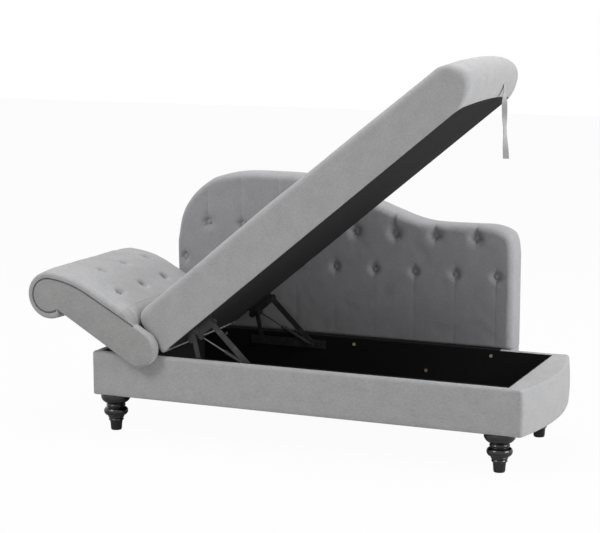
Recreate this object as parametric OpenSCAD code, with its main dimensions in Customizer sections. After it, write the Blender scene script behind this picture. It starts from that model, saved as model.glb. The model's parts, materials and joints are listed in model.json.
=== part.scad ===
// Chaise longue sofa bed: storage base with a lift-up seat, a scrolled tilting arm
// at the head end and a tufted backrest. +X runs from head to foot, +Y from front
// to back, +Z up. The seat is shown lifted and the arm half lowered.

/* [Base] */
// Length of the base along its front face, corner to corner
base_l = 1515; // [1400:5:1650]
// Depth of the base, front face to rear face
base_d = 580; // [560:5:640]
// Height of the upholstered base box
base_h = 150; // [140:2:180]
// How far the foot end bows out at mid depth
base_bow = 42; // [20:2:60]
// Height of the turned feet
foot_h = 130; // [90:5:160]
// Radius of the disc at the top of a foot
foot_r = 51; // [40:1:52]
// Distance from the base's head end to the axis of a foot
foot_inset_head = 61; // [55:1:110]
// Distance from the base's foot end corners to the axis of a foot
foot_inset_end = 84; // [65:1:110]
// Distance from the front and rear faces to the axis of a foot
foot_inset_y = 54; // [52:1:80]
// Thickness of the timber rails
rail_t = 22; // [18:1:28]
// Thickness of the padded fabric on the base's faces
cover_t = 7; // [4:0.5:10]
// Thickness of the fabric lip on the rims
lip_t = 5; // [3:0.5:8]
// Thickness of the black box lining
lining_t = 2; // [1:0.5:3]
// Distance from the foot end's corners to the inner edge of its rim
foot_rim_w = 52; // [45:1:80]
// Distance from the head end to the box's bulkhead face
head_deck_l = 158; // [150:1:160]

/* [Seat lid] */
// Length of the seat lid along its front side
lid_l = 1345; // [1250:1:1480]
// How far the foot end of the lid bows out
lid_bow = 25; // [15:1:60]
// Thickness of the lid from underside to the edge of its top at the head
lid_t = 160; // [140:2:180]
// How much thinner the lid's edge is at its foot end
lid_taper = 15; // [0:1:24]
// How far the cushion's middle rises above its edge
lid_crown = 8; // [0:1:16]
// How far the top edge of the lid's foot end stands out over its lower edge
lid_lean = 48; // [0:1:60]
// How far the lid's foot end swells out between its edges
lid_puff = 58; // [10:1:80]
// Radius that rounds the lid's long top edges
lid_edge_r = 30; // [20:1:50]
// Radius that rounds the top edge at both ends of the lid
lid_end_r = 48; // [35:1:50]
// Angle of the lifted lid
lid_angle = 39.5; // [30:0.5:45]
// Where the lid's head end stands, from the base's head end, when closed
lid_closed_x = 166; // [163:1:185]
// Gap between the rims and the closed lid
lid_closed_gap = 2; // [1.5:0.5:4]
// Where the lid's lower head edge stands, from the base's head end, when lifted
lid_open_x = 262; // [255:1:275]
// Height of the lid's lower head edge above the rims when lifted
lid_open_gap = 9; // [8:0.5:16]
// Width of the timber rails in the lid
lid_rail_w = 44; // [36:1:50]
// Height of the timber rails in the lid
lid_rail_h = 40; // [30:1:48]
// Length of the pull strap
strap_l = 240; // [120:5:260]
// Width of the pull strap
strap_w = 20; // [15:1:30]

/* [Linkage] */
// Distance of the short link's pivot from the lid's head end
coupler_a_along = 124; // [115:1:135]
// Distance of the long link's pivot from the lid's head end
coupler_b_along = 206; // [195:1:215]
// Depth of the lid's pivots below its underside
coupler_drop = 22; // [18:1:26]
// Depth of the base's pivots below the rims
ground_drop = 32; // [28:1:36]
// Width of the short link
short_link_w = 16; // [12:1:18]
// Width of the long link
long_link_w = 20; // [14:1:22]
// Thickness of the links and plates
steel_t = 3; // [2:0.5:4]
// Radius of the pivot pins
pin_r = 4; // [3:0.5:5]
// Outer radius of the assist strut's cylinder
strut_r = 6.5; // [6:0.5:8]
// Radius of the assist strut's rod
strut_rod_r = 3; // [2.5:0.5:3.5]

/* [Arm] */
// Distance of the arm's pivot from the base's head end
arm_pivot_x = 198; // [190:1:205]
// Height of the arm's pivot above the rims
arm_pivot_up = 29; // [26:1:34]
// Slope of the arm as drawn
arm_angle = 29; // [28:0.5:31]
// Length of the straight part of the arm from its pivot
arm_straight_l = 250; // [230:5:280]
// Half of the width of the arm's side panel
arm_half_w = 61; // [56:1:62]
// Distance of the scroll's axis from the pivot, along the arm
scroll_along = 376; // [360:2:400]
// Distance of the scroll's axis below the arm's centre line
scroll_drop = 24.5; // [20:0.5:30]
// Radius of the scroll on the side panel
scroll_r = 58.5; // [54:0.5:62]
// Thickness of the front side panel, board and padding
arm_panel_t = 38; // [32:1:44]
// Thickness of the boards in the side panels
arm_board_t = 12; // [9:1:15]
// Thickness of the arm's cover at its edges
arm_pad_t = 21; // [12:1:24]
// How far the arm's cushion swells above its edges
arm_crown = 6; // [2:1:14]
// Distance from the pivot to the firm end of the arm's cushion
arm_cushion_start = 112; // [112:1:120]
// Depth of the tufts in the arm
arm_tuft_depth = 14; // [8:1:18]

/* [Backrest] */
// Length of the backrest
back_l = 1276; // [1250:2:1300]
// Distance of the backrest's head edge from the base's head end
back_x = 40; // [38:1:60]
// Height of the backrest's top above the rims
back_rise = 568; // [520:2:620]
// Thickness of the backrest's cushion
back_pad_t = 72; // [60:1:90]
// Thickness of the backrest's board
back_board_t = 32; // [24:1:36]
// Depth of the tufts in the backrest
back_tuft_depth = 24; // [12:1:30]
// Distance between neighbouring tufts in a row
tuft_pitch = 147.6; // [140:0.2:150]
// Height of the lower row of tufts above the rims
tuft_low_up = 250; // [235:1:265]
// Height of the upper row of tufts above the rims
tuft_high_up = 380; // [365:1:395]
// Radius of a covered button
button_r = 11; // [9:0.5:12]

/* [Hidden] */

// Colours
fabric_grey = [0.62, 0.62, 0.63];
fabric_shade = [0.5, 0.5, 0.53];
lining_black = [0.06, 0.06, 0.06];
timber = [0.76, 0.62, 0.42];
steel_dark = [0.22, 0.22, 0.22];
lacquer_black = [0.03, 0.03, 0.03];
brass_tone = [0.75, 0.6, 0.3];
strap_grey = [0.8, 0.8, 0.8];

// Common clearances
over = 1;
seat_gap = 0.3;
fit_gap = 0.05;
cloth_t = 2;
small_r = 5;
round_steps = 48;

// Heights of the base
rim_z = foot_h + base_h;
base_corner_r = 12;
foot_end_corner_r = 20;
rail_z0 = foot_h + cloth_t;
rail_z1 = rim_z - lip_t;
block_t = 18;
floor_z0 = rail_z0 + block_t;
floor_t = 6;
floor_z1 = floor_z0 + floor_t;
wall_in = cover_t + rail_t;
box_x0 = head_deck_l;
box_x1 = base_l - foot_rim_w;
bulkhead_t = 18;
deck_t = 12;
block_l = 100;
block_w = 70;
bolt_r = 4;
bolt_in_foot = 40;
bolt_in_block = 16;

// The seat lid: its plan in its own frame and the two poses of its head edge
lid_y0 = 2;
lid_back_gap = 25;
lid_y1 = base_d - lid_back_gap;
lid_head_r = 25;
lid_foot_r = 40;
lid_skirt_t = 12;
lid_hem = 2;
lid_hem_w = 4;
lid_flat_x = 600;
lid_board_t = 8;
lid_low_r = 20;
lid_open = [lid_open_x, rim_z + lid_open_gap];
lid_closed = [lid_closed_x, rim_z + lid_closed_gap];
lid_foot_rail_w = 65;
strap_t = 2;
strap_fold = 0.4;
strap_y_share = 0.62;

// The linkage in the base's vertical plane
function turn(p, a) = [p[0] * cos(a) - p[1] * sin(a), p[0] * sin(a) + p[1] * cos(a)];
function lid_point(p) = lid_open + turn(p, lid_angle);
function lid_point_closed(p) = lid_closed + p;
coupler_a = [coupler_a_along, -coupler_drop];
coupler_b = [coupler_b_along, -coupler_drop];
ground_z = rim_z - ground_drop;
// A base pivot at the ground height is as far from the lid's pivot in both poses
function ground_x(p, q) = (p * p - q * q - 2 * ground_z * (p[1] - q[1])) / (2 * (p[0] - q[0]));
ground_a = [ground_x(lid_point(coupler_a), lid_point_closed(coupler_a)), ground_z];
ground_b = [ground_x(lid_point(coupler_b), lid_point_closed(coupler_b)), ground_z];
strut_eye_along = 141;
strut_eye_drop = 36;
strut_eye = [strut_eye_along, -strut_eye_drop];

// Where the layers of the linkage lie, measured in from the box's wall
wall_y = wall_in + lining_t;
short_y = wall_y + steel_t + seat_gap;
head_t = 1.5;
long_y = short_y + steel_t + 2 * seat_gap + head_t;
plate_y = long_y + steel_t + seat_gap;
strut_eye_t = 7;
link_pin_in = seat_gap + head_t;
strut_y = plate_y + steel_t + seat_gap + strut_r;
pin_head_r = 7;
plate_h = 30;
plate_end = 45;
lid_plate_w = 22;
lid_plate_ends = 30;
lid_flange_w = 14;
strut_head_r = 8;
strut_body_l = 130;
strut_floor = 18;
strut_rod_l = 168;

// The arm in its own frame: along from the pivot, out of the centre line
arm_pivot = [arm_pivot_x, rim_z + arm_pivot_up];
arm_front_y = -arm_panel_t - small_r;
arm_board_y = -small_r;
arm_rear_y = base_d - 14;
arm_rear_board_y = base_d - 35;
bracket_r = 46;
bracket_foot_w = 76;
bracket_t = 4;
pivot_pin_r = 6;
pivot_head_r = 9;
pivot_head_t = 3;
leaf_w = 36;
leaf_l = 210;
under_drop = 49;
under_inner_drop = 36;
under_step_along = 200;
scroll_c = [scroll_along, -scroll_drop];
// The big arc that leads from the straight part into the scroll
lead_gap = scroll_along - arm_straight_l;
lead_r = (lead_gap * lead_gap + pow(arm_half_w + scroll_drop, 2) - scroll_r * scroll_r)
  / (2 * (arm_half_w + scroll_drop - scroll_r));
lead_c = [arm_straight_l, arm_half_w - lead_r];
lead_end_angle = atan2(scroll_c[1] - lead_c[1], scroll_c[0] - lead_c[0]);
scroll_end_angle = -180 + asin((under_drop - scroll_drop) / scroll_r);
lead_len = lead_r * (90 - lead_end_angle) * PI / 180;
scroll_len = scroll_r * (lead_end_angle - scroll_end_angle) * PI / 180;
arm_outline_len = arm_straight_l + lead_len + scroll_len;
arm_tuft_row_a = 184;
arm_tuft_row_b = 310;
arm_tuft_first_y = 62;
arm_tuft_pitch = 165;
arm_tuft_count = 3;
arm_tuft_spread = 40;
tuft_flat = 13;
board_inset = 3;
arm_crown_power = 6;

// The backrest
back_y0 = base_d - 12;
back_flat_y = base_d;
back_y1 = back_flat_y + back_pad_t - 12;
back_y2 = back_y1 + back_board_t;
back_x1 = back_x + back_l;
rim_cloth_t = 1;
rim_cloth_end = 36;
back_low_z = rim_z + rim_cloth_t + small_r / 10;
back_foot_z = foot_h + 20;
back_edge_r = 24;
tuft_first_x = 76;
tuft_low_n = 9;
tuft_high_n = 8;
tuft_spread = 46;
tuft_head_shift = 18;
tuft_shift_share = 0.45;
pleat_w = 22;
pleat_depth = 6;
button_t = 7;

// The whole part's middle, from its extreme points
roll_reach = scroll_r + arm_pad_t + arm_crown;
part_x0 = arm_pivot_x - scroll_along * cos(arm_angle) - scroll_drop * sin(arm_angle) - roll_reach;
part_x1 = base_l + base_bow;
part_y0 = arm_front_y;
part_y1 = back_y2 + cloth_t;
mid_x = (part_x0 + part_x1) / 2;
mid_y = (part_y0 + part_y1) / 2;

module place() translate([-mid_x, -mid_y, 0]) children();
module prism(points, z0, z1) translate([0, 0, z0]) linear_extrude(z1 - z0) polygon(points);
module brick(a, b) translate(a) cube(b - a);

// A side shape drawn in the X and Z directions, from one depth to another
module slab(y0, y1) translate([0, y1, 0]) rotate([90, 0, 0]) linear_extrude(y1 - y0) children();
// A round bar along Y
module bar(p, r, y0, y1) translate([p[0], y1, p[1]]) rotate([90, 0, 0])
  cylinder(r = r, h = y1 - y0, $fn = round_steps);

function arc(c, r, a0, a1, n, skip = 0) =
  [for (i = [skip : n - skip]) c + r * [cos(a0 + (a1 - a0) * i / n), sin(a0 + (a1 - a0) * i / n)]];

// Plan of a box whose far end bows out. Its sides and its bow move in by an inset, its
// head end by its own. Points at the given distances divide the long sides.
function bow_plan(x1, y0, y1, bow, r_head, r_foot, inset, head, cuts) =
  let (w = y1 - y0,
       big = (w * w / 4 + bow * bow) / (2 * bow),
       c = [x1 + bow - big, (y0 + y1) / 2],
       rh = max(r_head - inset, small_r / 5),
       rf = max(r_foot - inset, small_r / 5),
       lo = y0 + inset,
       hi = y1 - inset,
       fx = c[0] + sqrt(pow(big - inset - rf, 2) - pow(c[1] - lo - rf, 2)),
       a = atan2(lo + rf - c[1], fx - c[0]))
  concat(
    arc([head + rh, lo + rh], rh, 180, 270, 3),
    [for (x = cuts) [x, lo]],
    arc([fx, lo + rf], rf, 270, 360 + a, 6),
    arc(c, big - inset, a, -a, 10, 1),
    arc([fx, hi - rf], rf, -a, 90, 6),
    [for (i = [1 : len(cuts)]) [cuts[len(cuts) - i], hi]],
    arc([head + rh, hi - rh], rh, 90, 180, 3));

function base_plan(inset) =
  bow_plan(base_l, 0, base_d, base_bow, base_corner_r, foot_end_corner_r, inset, inset, []);
// Plan of the lid's inner pieces, clear of the rounding under its head end
lid_core_head = lid_low_r + lid_hem_w;
function lid_plan(inset) =
  bow_plan(lid_l, lid_y0, lid_y1, lid_bow, lid_head_r, lid_foot_r, inset, lid_core_head, []);

// Base timber
module rail_zone(x0, x1, y0, y1) intersection() {
  prism(base_plan(cover_t), rail_z0, rail_z1);
  brick([x0, y0, 0], [x1, y1, rim_z]);
}

module back_bolt_holes(y0, y1) for (p = back_bolt_places) bar(p, bolt_hole_r, y0, y1);

bolt_drop = 21;
bolt_low_drop = 91;
back_bolt_r = 3;
bolt_hole_r = back_bolt_r + fit_gap;
bolt_head_r = 6;
bolt_head_t = 3;
// Along the wall that the box and the backrest share
bolt_span = min(box_x1, back_x1) - box_x0;
back_bolt_shares = [0.0786, 0.5095, 0.7409, 0.943];
back_bolt_drops = [bolt_drop, bolt_drop, bolt_low_drop, bolt_drop];
back_bolt_places = [for (i = [0 : len(back_bolt_shares) - 1])
  [box_x0 + back_bolt_shares[i] * bolt_span, rim_z - back_bolt_drops[i]]];

module front_rail() color(timber) place()
  rail_zone(cover_t, box_x1, cover_t, wall_in);

module rear_rail() color(timber) place() difference() {
  rail_zone(cover_t, box_x1, base_d - wall_in, base_d - cover_t);
  back_bolt_holes(base_d - wall_in - over, base_d);
}

module head_rail() color(timber) place()
  rail_zone(cover_t, wall_in, wall_in, base_d - wall_in);

module foot_rail() color(timber) place()
  rail_zone(box_x1, base_l + base_bow, 0, base_d);

foot_places = [
  [foot_inset_head, foot_inset_y],
  [base_l - foot_inset_end, foot_inset_y],
  [foot_inset_head, base_d - foot_inset_y],
  [base_l - foot_inset_end, base_d - foot_inset_y]
];

module corner_blocks() color(timber) place() for (x = [wall_in, box_x1 - block_l])
  for (y = [wall_in, base_d - wall_in - block_w])
    difference() {
      brick([x, y, rail_z0], [x + block_l, y + block_w, floor_z0]);
      for (p = foot_places) translate([p[0], p[1], rail_z0 - over])
        cylinder(r = bolt_r + fit_gap, h = bolt_in_block + over, $fn = round_steps);
    }

module bottom_cloth() color(lining_black) place() difference() {
  prism(base_plan(cover_t), foot_h, rail_z0);
  for (p = foot_places) translate([p[0], p[1], foot_h - over])
    cylinder(r = bolt_r + fit_gap, h = cloth_t + 2 * over, $fn = round_steps);
}

module storage_floor() color(timber) place()
  brick([wall_in, wall_in, floor_z0], [box_x1, base_d - wall_in, floor_z1]);

// Padded fabric round the base: a skin outside the rails and a lip over them
module cover_part(x0, x1, y0, y1) difference() {
  intersection() {
    prism(base_plan(0), foot_h, rim_z);
    brick([x0, y0, 0], [x1, y1, rim_z + over]);
  }
  prism(base_plan(cover_t), foot_h - over, rail_z1);
  brick([wall_in, wall_in, 0], [box_x1, base_d - wall_in, rim_z + over]);
}

module front_cover() color(fabric_grey) place()
  cover_part(wall_in, box_x1, -over, wall_in);

module rear_cover() color(fabric_shade) place() difference() {
  cover_part(wall_in, box_x1, base_d - wall_in, base_d + over);
  back_bolt_holes(base_d - cover_t - over, base_d + over);
}

module head_cover() color(fabric_grey) place()
  cover_part(-over, wall_in, -over, base_d + over);

module foot_cover() color(fabric_grey) place()
  cover_part(box_x1, base_l + base_bow + over, -over, base_d + over);

// Black lining: four walls, a floor sheet and a flap over the rear rim
rim_cloth_x0 = arm_pivot_x + bracket_foot_w / 2 + over;
rim_cloth_x1 = back_x1 - rim_cloth_end;
module box_lining() color(lining_black) place() {
  lo = wall_in;
  hi = base_d - wall_in;
  t = lining_t;
  top = rim_z - t / 2;
  brick([box_x0, lo, floor_z1 + t], [box_x1, lo + t, top]);
  difference() {
    union() {
      brick([box_x0, hi - t, floor_z1 + t], [box_x1, hi, top]);
      brick([rim_cloth_x0, hi - t, top - over], [rim_cloth_x1, hi, rim_z + rim_cloth_t]);
      brick([rim_cloth_x0, hi - over, rim_z], [rim_cloth_x1, base_d - t, rim_z + rim_cloth_t]);
    }
    back_bolt_holes(hi - t - over, hi + over);
  }
  brick([box_x0, lo + t, floor_z1 + t], [box_x0 + t, hi - t, top]);
  brick([box_x1 - t, lo + t, floor_z1 + t], [box_x1, hi - t, top]);
  brick([box_x0, lo, floor_z1], [box_x1, hi, floor_z1 + t]);
}

module bulkhead() color(timber) place()
  brick([box_x0 - bulkhead_t, wall_in, floor_z1], [box_x0, base_d - wall_in, rail_z1 - deck_t]);

module head_deck() color(timber) place()
  brick([wall_in, wall_in, rail_z1 - deck_t], [box_x0, base_d - wall_in, rail_z1]);

module head_deck_cover() color(fabric_grey) place()
  brick([wall_in, wall_in, rail_z1], [box_x0, base_d - wall_in, rim_z]);

// Turned foot: radius and height as shares of the disc radius and the foot height
foot_shares = [
  [0, 0], [0.34, 0], [0.37, 0.03], [0.385, 0.115], [0.42, 0.22], [0.505, 0.275], [0.50, 0.31],
  [0.48, 0.33], [0.545, 0.36], [0.56, 0.385], [0.69, 0.415], [0.79, 0.46], [0.815, 0.506],
  [0.79, 0.56], [0.71, 0.604], [0.61, 0.635], [0.635, 0.67], [0.62, 0.715], [0.68, 0.745],
  [0.84, 0.785], [0.95, 0.835], [1, 0.9], [0.985, 0.96], [0.94, 1], [0, 1]
];

module turned_foot(p) color(lacquer_black) place() translate([p[0], p[1], 0]) difference() {
  rotate_extrude($fn = round_steps)
    polygon([for (s = foot_shares) [s[0] * foot_r, s[1] * foot_h]]);
  translate([0, 0, foot_h - bolt_in_foot]) cylinder(r = bolt_r + fit_gap, h = bolt_in_foot + over,
    $fn = round_steps);
}

module foot_front_left() turned_foot(foot_places[0]);
module foot_front_right() turned_foot(foot_places[1]);
module foot_rear_left() turned_foot(foot_places[2]);
module foot_rear_right() turned_foot(foot_places[3]);

module foot_bolts() color(steel_dark) place() for (p = foot_places)
  translate([p[0], p[1], foot_h - bolt_in_foot]) cylinder(r = bolt_r,
    h = bolt_in_foot + cloth_t + bolt_in_block, $fn = round_steps);

// Outline of the backrest: shares of its length and of its rise above the rims
back_outline_shares = [
  [0, 0.54], [0.0133, 0.70], [0.045, 0.825], [0.076, 0.895], [0.1136, 0.951], [0.152, 0.979],
  [0.2085, 0.997], [0.30, 1], [0.378, 0.996], [0.43, 0.98], [0.52, 0.915], [0.622, 0.832],
  [0.667, 0.795], [0.716, 0.759], [0.766, 0.739], [0.886, 0.737], [0.94, 0.735], [0.9835, 0.70],
  [0.9953, 0.65], [1, 0.57]
];

function mix(a, b, t) = a + (b - a) * t;
// Height of the backrest's top edge at a distance along it
function back_top(x) =
  let (s = (x - back_x) / back_l, n = len(back_outline_shares),
       k = max([for (i = [0 : n - 2]) back_outline_shares[i][0] <= s + 1 / 1e6 ? i : 0]),
       p0 = back_outline_shares[max(k - 1, 0)], p1 = back_outline_shares[k],
       p2 = back_outline_shares[k + 1], p3 = back_outline_shares[min(k + 2, n - 1)],
       h = p2[0] - p1[0], t = (s - p1[0]) / h,
       m1 = k == 0 ? (p2[1] - p1[1]) / h : (p2[1] - p0[1]) / (p2[0] - p0[0]),
       m2 = k == n - 2 ? (p2[1] - p1[1]) / h : (p3[1] - p1[1]) / (p3[0] - p1[0]))
  rim_z + back_rise * ((1 + 2 * t) * pow(1 - t, 2) * p1[1] + t * pow(1 - t, 2) * h * m1
    + t * t * (3 - 2 * t) * p2[1] - t * t * (1 - t) * h * m2);

tuft_low_z = rim_z + tuft_low_up;
tuft_high_z = rim_z + tuft_high_up;
half_pitch = tuft_pitch / 2;
// The upper tufts near the head end stand a little further along
function tuft_x(i) = tuft_first_x + i * half_pitch
  + (i % 2 == 0 ? 0 : tuft_head_shift * pow(tuft_shift_share, (i - 1) / 2));
back_tufts = concat(
  [for (i = [0 : tuft_low_n - 1]) [tuft_x(2 * i), tuft_low_z]],
  [for (i = [0 : tuft_high_n - 1]) [tuft_x(2 * i + 1), tuft_high_z]]);

back_edge_x = 8;
// Columns: two at each tuft, one between neighbours, and closer ones at both ends
back_columns = concat(
  [back_x, back_x + back_edge_x / 2, back_x + back_edge_x, back_x + 2 * back_edge_x],
  [for (i = [0 : 2 * tuft_high_n]) for (x = [tuft_x(i) - tuft_flat, tuft_x(i) + tuft_flat,
      (tuft_x(i) + tuft_x(i + 1)) / 2])
    if (x < back_x1 - 3 * back_edge_x) x],
  [back_x1 - 2.5 * back_edge_x, back_x1 - back_edge_x, back_x1]);
back_low_rows = [back_low_z, back_low_z + 14, back_low_z + 90, back_low_z + 170,
  tuft_low_z - tuft_flat, tuft_low_z + tuft_flat];
back_high_rows = [tuft_high_z - 75, tuft_high_z - 40, tuft_high_z - tuft_flat, tuft_high_z + tuft_flat];
back_rim_shares = [0.4, 0.75, 0.93, 1];
back_cap_z = tuft_high_z + 2 * tuft_flat;
function back_squeeze(x) =
  min(1, (back_top(x) - back_low_rows[5]) / (back_cap_z - back_low_rows[5]));
function back_row_z(x, j) = j < 6 ? back_low_rows[j]
  : j < 10 ? mix(back_low_rows[5], back_high_rows[j - 6], back_squeeze(x) * 0.98)
  : mix(mix(back_low_rows[5], back_high_rows[3], back_squeeze(x) * 0.98), back_top(x),
      back_rim_shares[j - 10]);
back_row_n = 14;

function bump(d, w) = exp(-pow(d / w, 2));
function tuft_sink(p, tufts, depth, spread) = depth * min(1, max([for (q = tufts)
  bump(max(0, norm(p - q) - 1.5 * tuft_flat), spread)]));
// Channel above each upper tuft
function pleat_sink(x, z) = z < tuft_high_z + tuft_flat ? 0
  : pleat_depth * max([for (i = [0 : tuft_high_n - 1])
      bump(x - tuft_x(2 * i + 1), pleat_w)]);
function edge_sink(d, r) = d >= r ? 0 : r - sqrt(max(0, r * r - pow(r - d, 2)));
function back_face_y(x, z) =
  min(back_y1 - back_edge_x, back_y0
    + edge_sink(min(x - back_x, back_x1 - x, back_top(x) - z), back_edge_r)
    + tuft_sink([x, z], back_tufts, back_tuft_depth, tuft_spread) + pleat_sink(x, z)
    + edge_sink(z - back_low_z, small_r * 2));

// Grid of front points, and one flat polygon behind them
module back_shell() {
  nx = len(back_columns);
  nz = back_row_n;
  front = [for (x = back_columns) for (j = [0 : nz - 1])
    [x, back_face_y(x, back_row_z(x, j)), back_row_z(x, j)]];
  ring = concat([for (i = [0 : nx - 1]) i * nz], [for (j = [1 : nz - 1]) (nx - 1) * nz + j],
    [for (i = [1 : nx - 1]) (nx - 1 - i) * nz + nz - 1], [for (j = [1 : nz - 2]) nz - 1 - j]);
  m = len(ring);
  n = nx * nz;
  rear = [for (k = ring) [front[k][0], back_y1 - seat_gap / 3, front[k][2]]];
  hub = [[mix(back_x, back_x1, 0.45), back_y1 - seat_gap / 3, mix(rim_z, back_low_z + back_rise, 0.4)]];
  polyhedron(points = concat(front, rear, hub), faces = concat(
    [for (i = [0 : nx - 2]) for (j = [0 : nz - 2]) [i * nz + j, (i + 1) * nz + j + 1, (i + 1) * nz + j]],
    [for (i = [0 : nx - 2]) for (j = [0 : nz - 2]) [i * nz + j, i * nz + j + 1, (i + 1) * nz + j + 1]],
    [for (k = [0 : m - 1]) [ring[k], ring[(k + 1) % m], n + (k + 1) % m]],
    [for (k = [0 : m - 1]) [ring[k], n + (k + 1) % m, n + k]],
    [for (k = [0 : m - 1]) [n + k, n + (k + 1) % m, n + m]]), convexity = 8);
}

module back_cushion() color(fabric_shade) place() back_shell();

// Covered button: a low dome whose flat side is at the origin, standing along +Z
module button_dome() {
  dome_r = (button_r * button_r + button_t * button_t) / (2 * button_t);
  intersection() {
    translate([0, 0, button_t - dome_r]) sphere(r = dome_r, $fn = round_steps);
    cylinder(r = button_r, h = button_t, $fn = round_steps);
  }
}

// A button rests on the most forward part of the cushion under it
function button_seat_y(q) = min([for (dx = [-1, 0, 1]) for (dz = [-1, 0, 1])
  back_face_y(q[0] + dx * tuft_flat, q[1] + dz * tuft_flat)]) - seat_gap / 3;

module back_buttons() color(fabric_shade) place() for (q = back_tufts)
  translate([q[0], button_seat_y(q), q[1]]) rotate([90, 0, 0]) button_dome();

// Board outline set in from the cushion's edge
back_board_inset = 3;
function back_board_points(low) = concat(
  [for (x = back_columns) if (x > back_x + back_board_inset && x < back_x1 - back_board_inset)
    [x, back_top(x) - 3 * back_board_inset]],
  [[back_x1 - back_board_inset, back_top(back_x1) - 3 * back_board_inset],
   [back_x1 - back_board_inset, low], [back_x + back_board_inset, low],
   [back_x + back_board_inset, back_top(back_x) - 3 * back_board_inset]]);

module back_board() color(timber) place() difference() {
  slab(back_y1, back_y2) polygon(back_board_points(back_foot_z));
  back_bolt_holes(back_y1 - over, back_y1 + back_board_t / 2);
}

module back_spacer_rail() color(timber) place() difference() {
  brick([back_x + back_edge_x, back_flat_y, back_foot_z],
    [back_x1 - back_edge_x, back_y1, rim_z - small_r]);
  back_bolt_holes(back_flat_y - over, back_y1 + over);
}

module back_rear_cloth() color(fabric_shade) place()
  slab(back_y2, back_y2 + cloth_t) polygon(back_board_points(back_foot_z));

module back_bolts() color(brass_tone) place() for (p = back_bolt_places) {
  y0 = base_d - wall_in - lining_t;
  bar(p, back_bolt_r, y0 - bolt_head_t, back_y1 + back_board_t / 2 - over);
  bar(p, bolt_head_r, y0 - bolt_head_t, y0);
}

// Linkage pieces are drawn for the front and mirrored to the rear
module rear_side() translate([0, base_d, 0]) mirror([0, 1, 0]) children();

// Flat bar with round ends between two pivots
module flat_link(p, q, w, y0, y1) {
  d = q - p;
  slab(y0, y1) {
    translate(p) circle(r = w / 2, $fn = round_steps);
    translate(q) circle(r = w / 2, $fn = round_steps);
    translate(p) rotate(atan2(d[1], d[0])) translate([0, -w / 2]) square([norm(d), w]);
  }
}

module hinge_plate() {
  difference() {
    brick([ground_a[0] - plate_end, wall_y, ground_z - plate_h / 2],
      [ground_b[0] + plate_end, wall_y + steel_t, ground_z + plate_h / 2]);
    for (x = [ground_a[0] - plate_end * 0.6, ground_b[0] + plate_end * 0.6])
      bar([x, ground_z], back_bolt_r, wall_y - over, wall_y + steel_t + over);
  }
  bar(ground_a, pin_r, wall_y + steel_t / 2, long_y - seat_gap);
  bar(ground_a, pin_head_r, long_y - seat_gap - head_t, long_y - seat_gap);
  bar(ground_b, pin_r, wall_y + steel_t / 2, strut_y + strut_eye_t / 2 + 2 * seat_gap + head_t);
  bar(ground_b, pin_head_r, strut_y + strut_eye_t / 2 + seat_gap,
    strut_y + strut_eye_t / 2 + seat_gap + head_t);
}

module hinge_plate_front() color(steel_dark) place() hinge_plate();
module hinge_plate_rear() color(steel_dark) place() rear_side() hinge_plate();

module short_link() {
  top = lid_point(coupler_a);
  difference() {
    flat_link(ground_a, top, short_link_w, short_y, short_y + steel_t);
    bar(ground_a, pin_r + fit_gap, short_y - over, short_y + steel_t + over);
  }
  bar(top, pin_r, short_y + steel_t / 2, plate_y - seat_gap);
}

module short_link_front() color(steel_dark) place() short_link();
module short_link_rear() color(steel_dark) place() rear_side() short_link();

module long_link() {
  top = lid_point(coupler_b);
  difference() {
    flat_link(ground_b, top, long_link_w, long_y, long_y + steel_t);
    for (p = [ground_b, top]) bar(p, pin_r + fit_gap, long_y - over, long_y + steel_t + over);
  }
}

module long_link_front() color(steel_dark) place() long_link();
module long_link_rear() color(steel_dark) place() rear_side() long_link();

// Assist strut along its own axis, from the base pivot to the lid's eye
strut_dir = lid_point(strut_eye) - ground_b;
strut_len = norm(strut_dir);
module along_strut() translate([ground_b[0], strut_y, ground_b[1]])
  rotate([0, 90 - atan2(strut_dir[1], strut_dir[0]), 0]) children();
module strut_eye_ring(hole_r) rotate([90, 0, 0]) difference() {
  cylinder(r = strut_head_r, h = strut_eye_t, center = true, $fn = round_steps);
  cylinder(r = hole_r, h = strut_eye_t + 2 * over, center = true, $fn = round_steps);
}

module strut_cylinder() along_strut() difference() {
  union() {
    strut_eye_ring(pin_r + fit_gap);
    translate([0, 0, strut_head_r - over]) cylinder(r = strut_r, h = strut_body_l - strut_head_r + over,
      $fn = round_steps);
  }
  translate([0, 0, strut_floor]) cylinder(r = strut_rod_r + fit_gap, h = strut_body_l,
    $fn = round_steps);
  rotate([90, 0, 0]) cylinder(r = pin_r + fit_gap, h = 3 * strut_eye_t, center = true,
    $fn = round_steps);
}

module strut_cylinder_front() color(steel_dark) place() strut_cylinder();
module strut_cylinder_rear() color(steel_dark) place() rear_side() strut_cylinder();

// The rod's eye carries its own stud, which meets the seat plate's ear
module strut_rod() along_strut() {
  translate([0, 0, strut_len - strut_rod_l]) cylinder(r = strut_rod_r, h = strut_rod_l - pin_r,
    $fn = round_steps);
  translate([0, 0, strut_len]) rotate([90, 0, 0]) {
    cylinder(r = strut_head_r, h = strut_eye_t, center = true, $fn = round_steps);
    cylinder(r = pin_r, h = strut_r, $fn = round_steps);
  }
}

module strut_rod_front() color(steel_dark) place() strut_rod();
module strut_rod_rear() color(steel_dark) place() rear_side() strut_rod();

// Lid pieces are drawn flat, with the head end's lower edge at X and Z zero
module lifted() translate([lid_open[0], 0, lid_open[1]]) rotate([0, -lid_angle, 0]) children();

lid_rail_z0 = cloth_t;
lid_rail_z1 = lid_rail_z0 + lid_rail_h;
lid_board_z1 = lid_rail_z1 + lid_board_t;
lid_foot_x = lid_l - lid_foot_rail_w;

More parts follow.
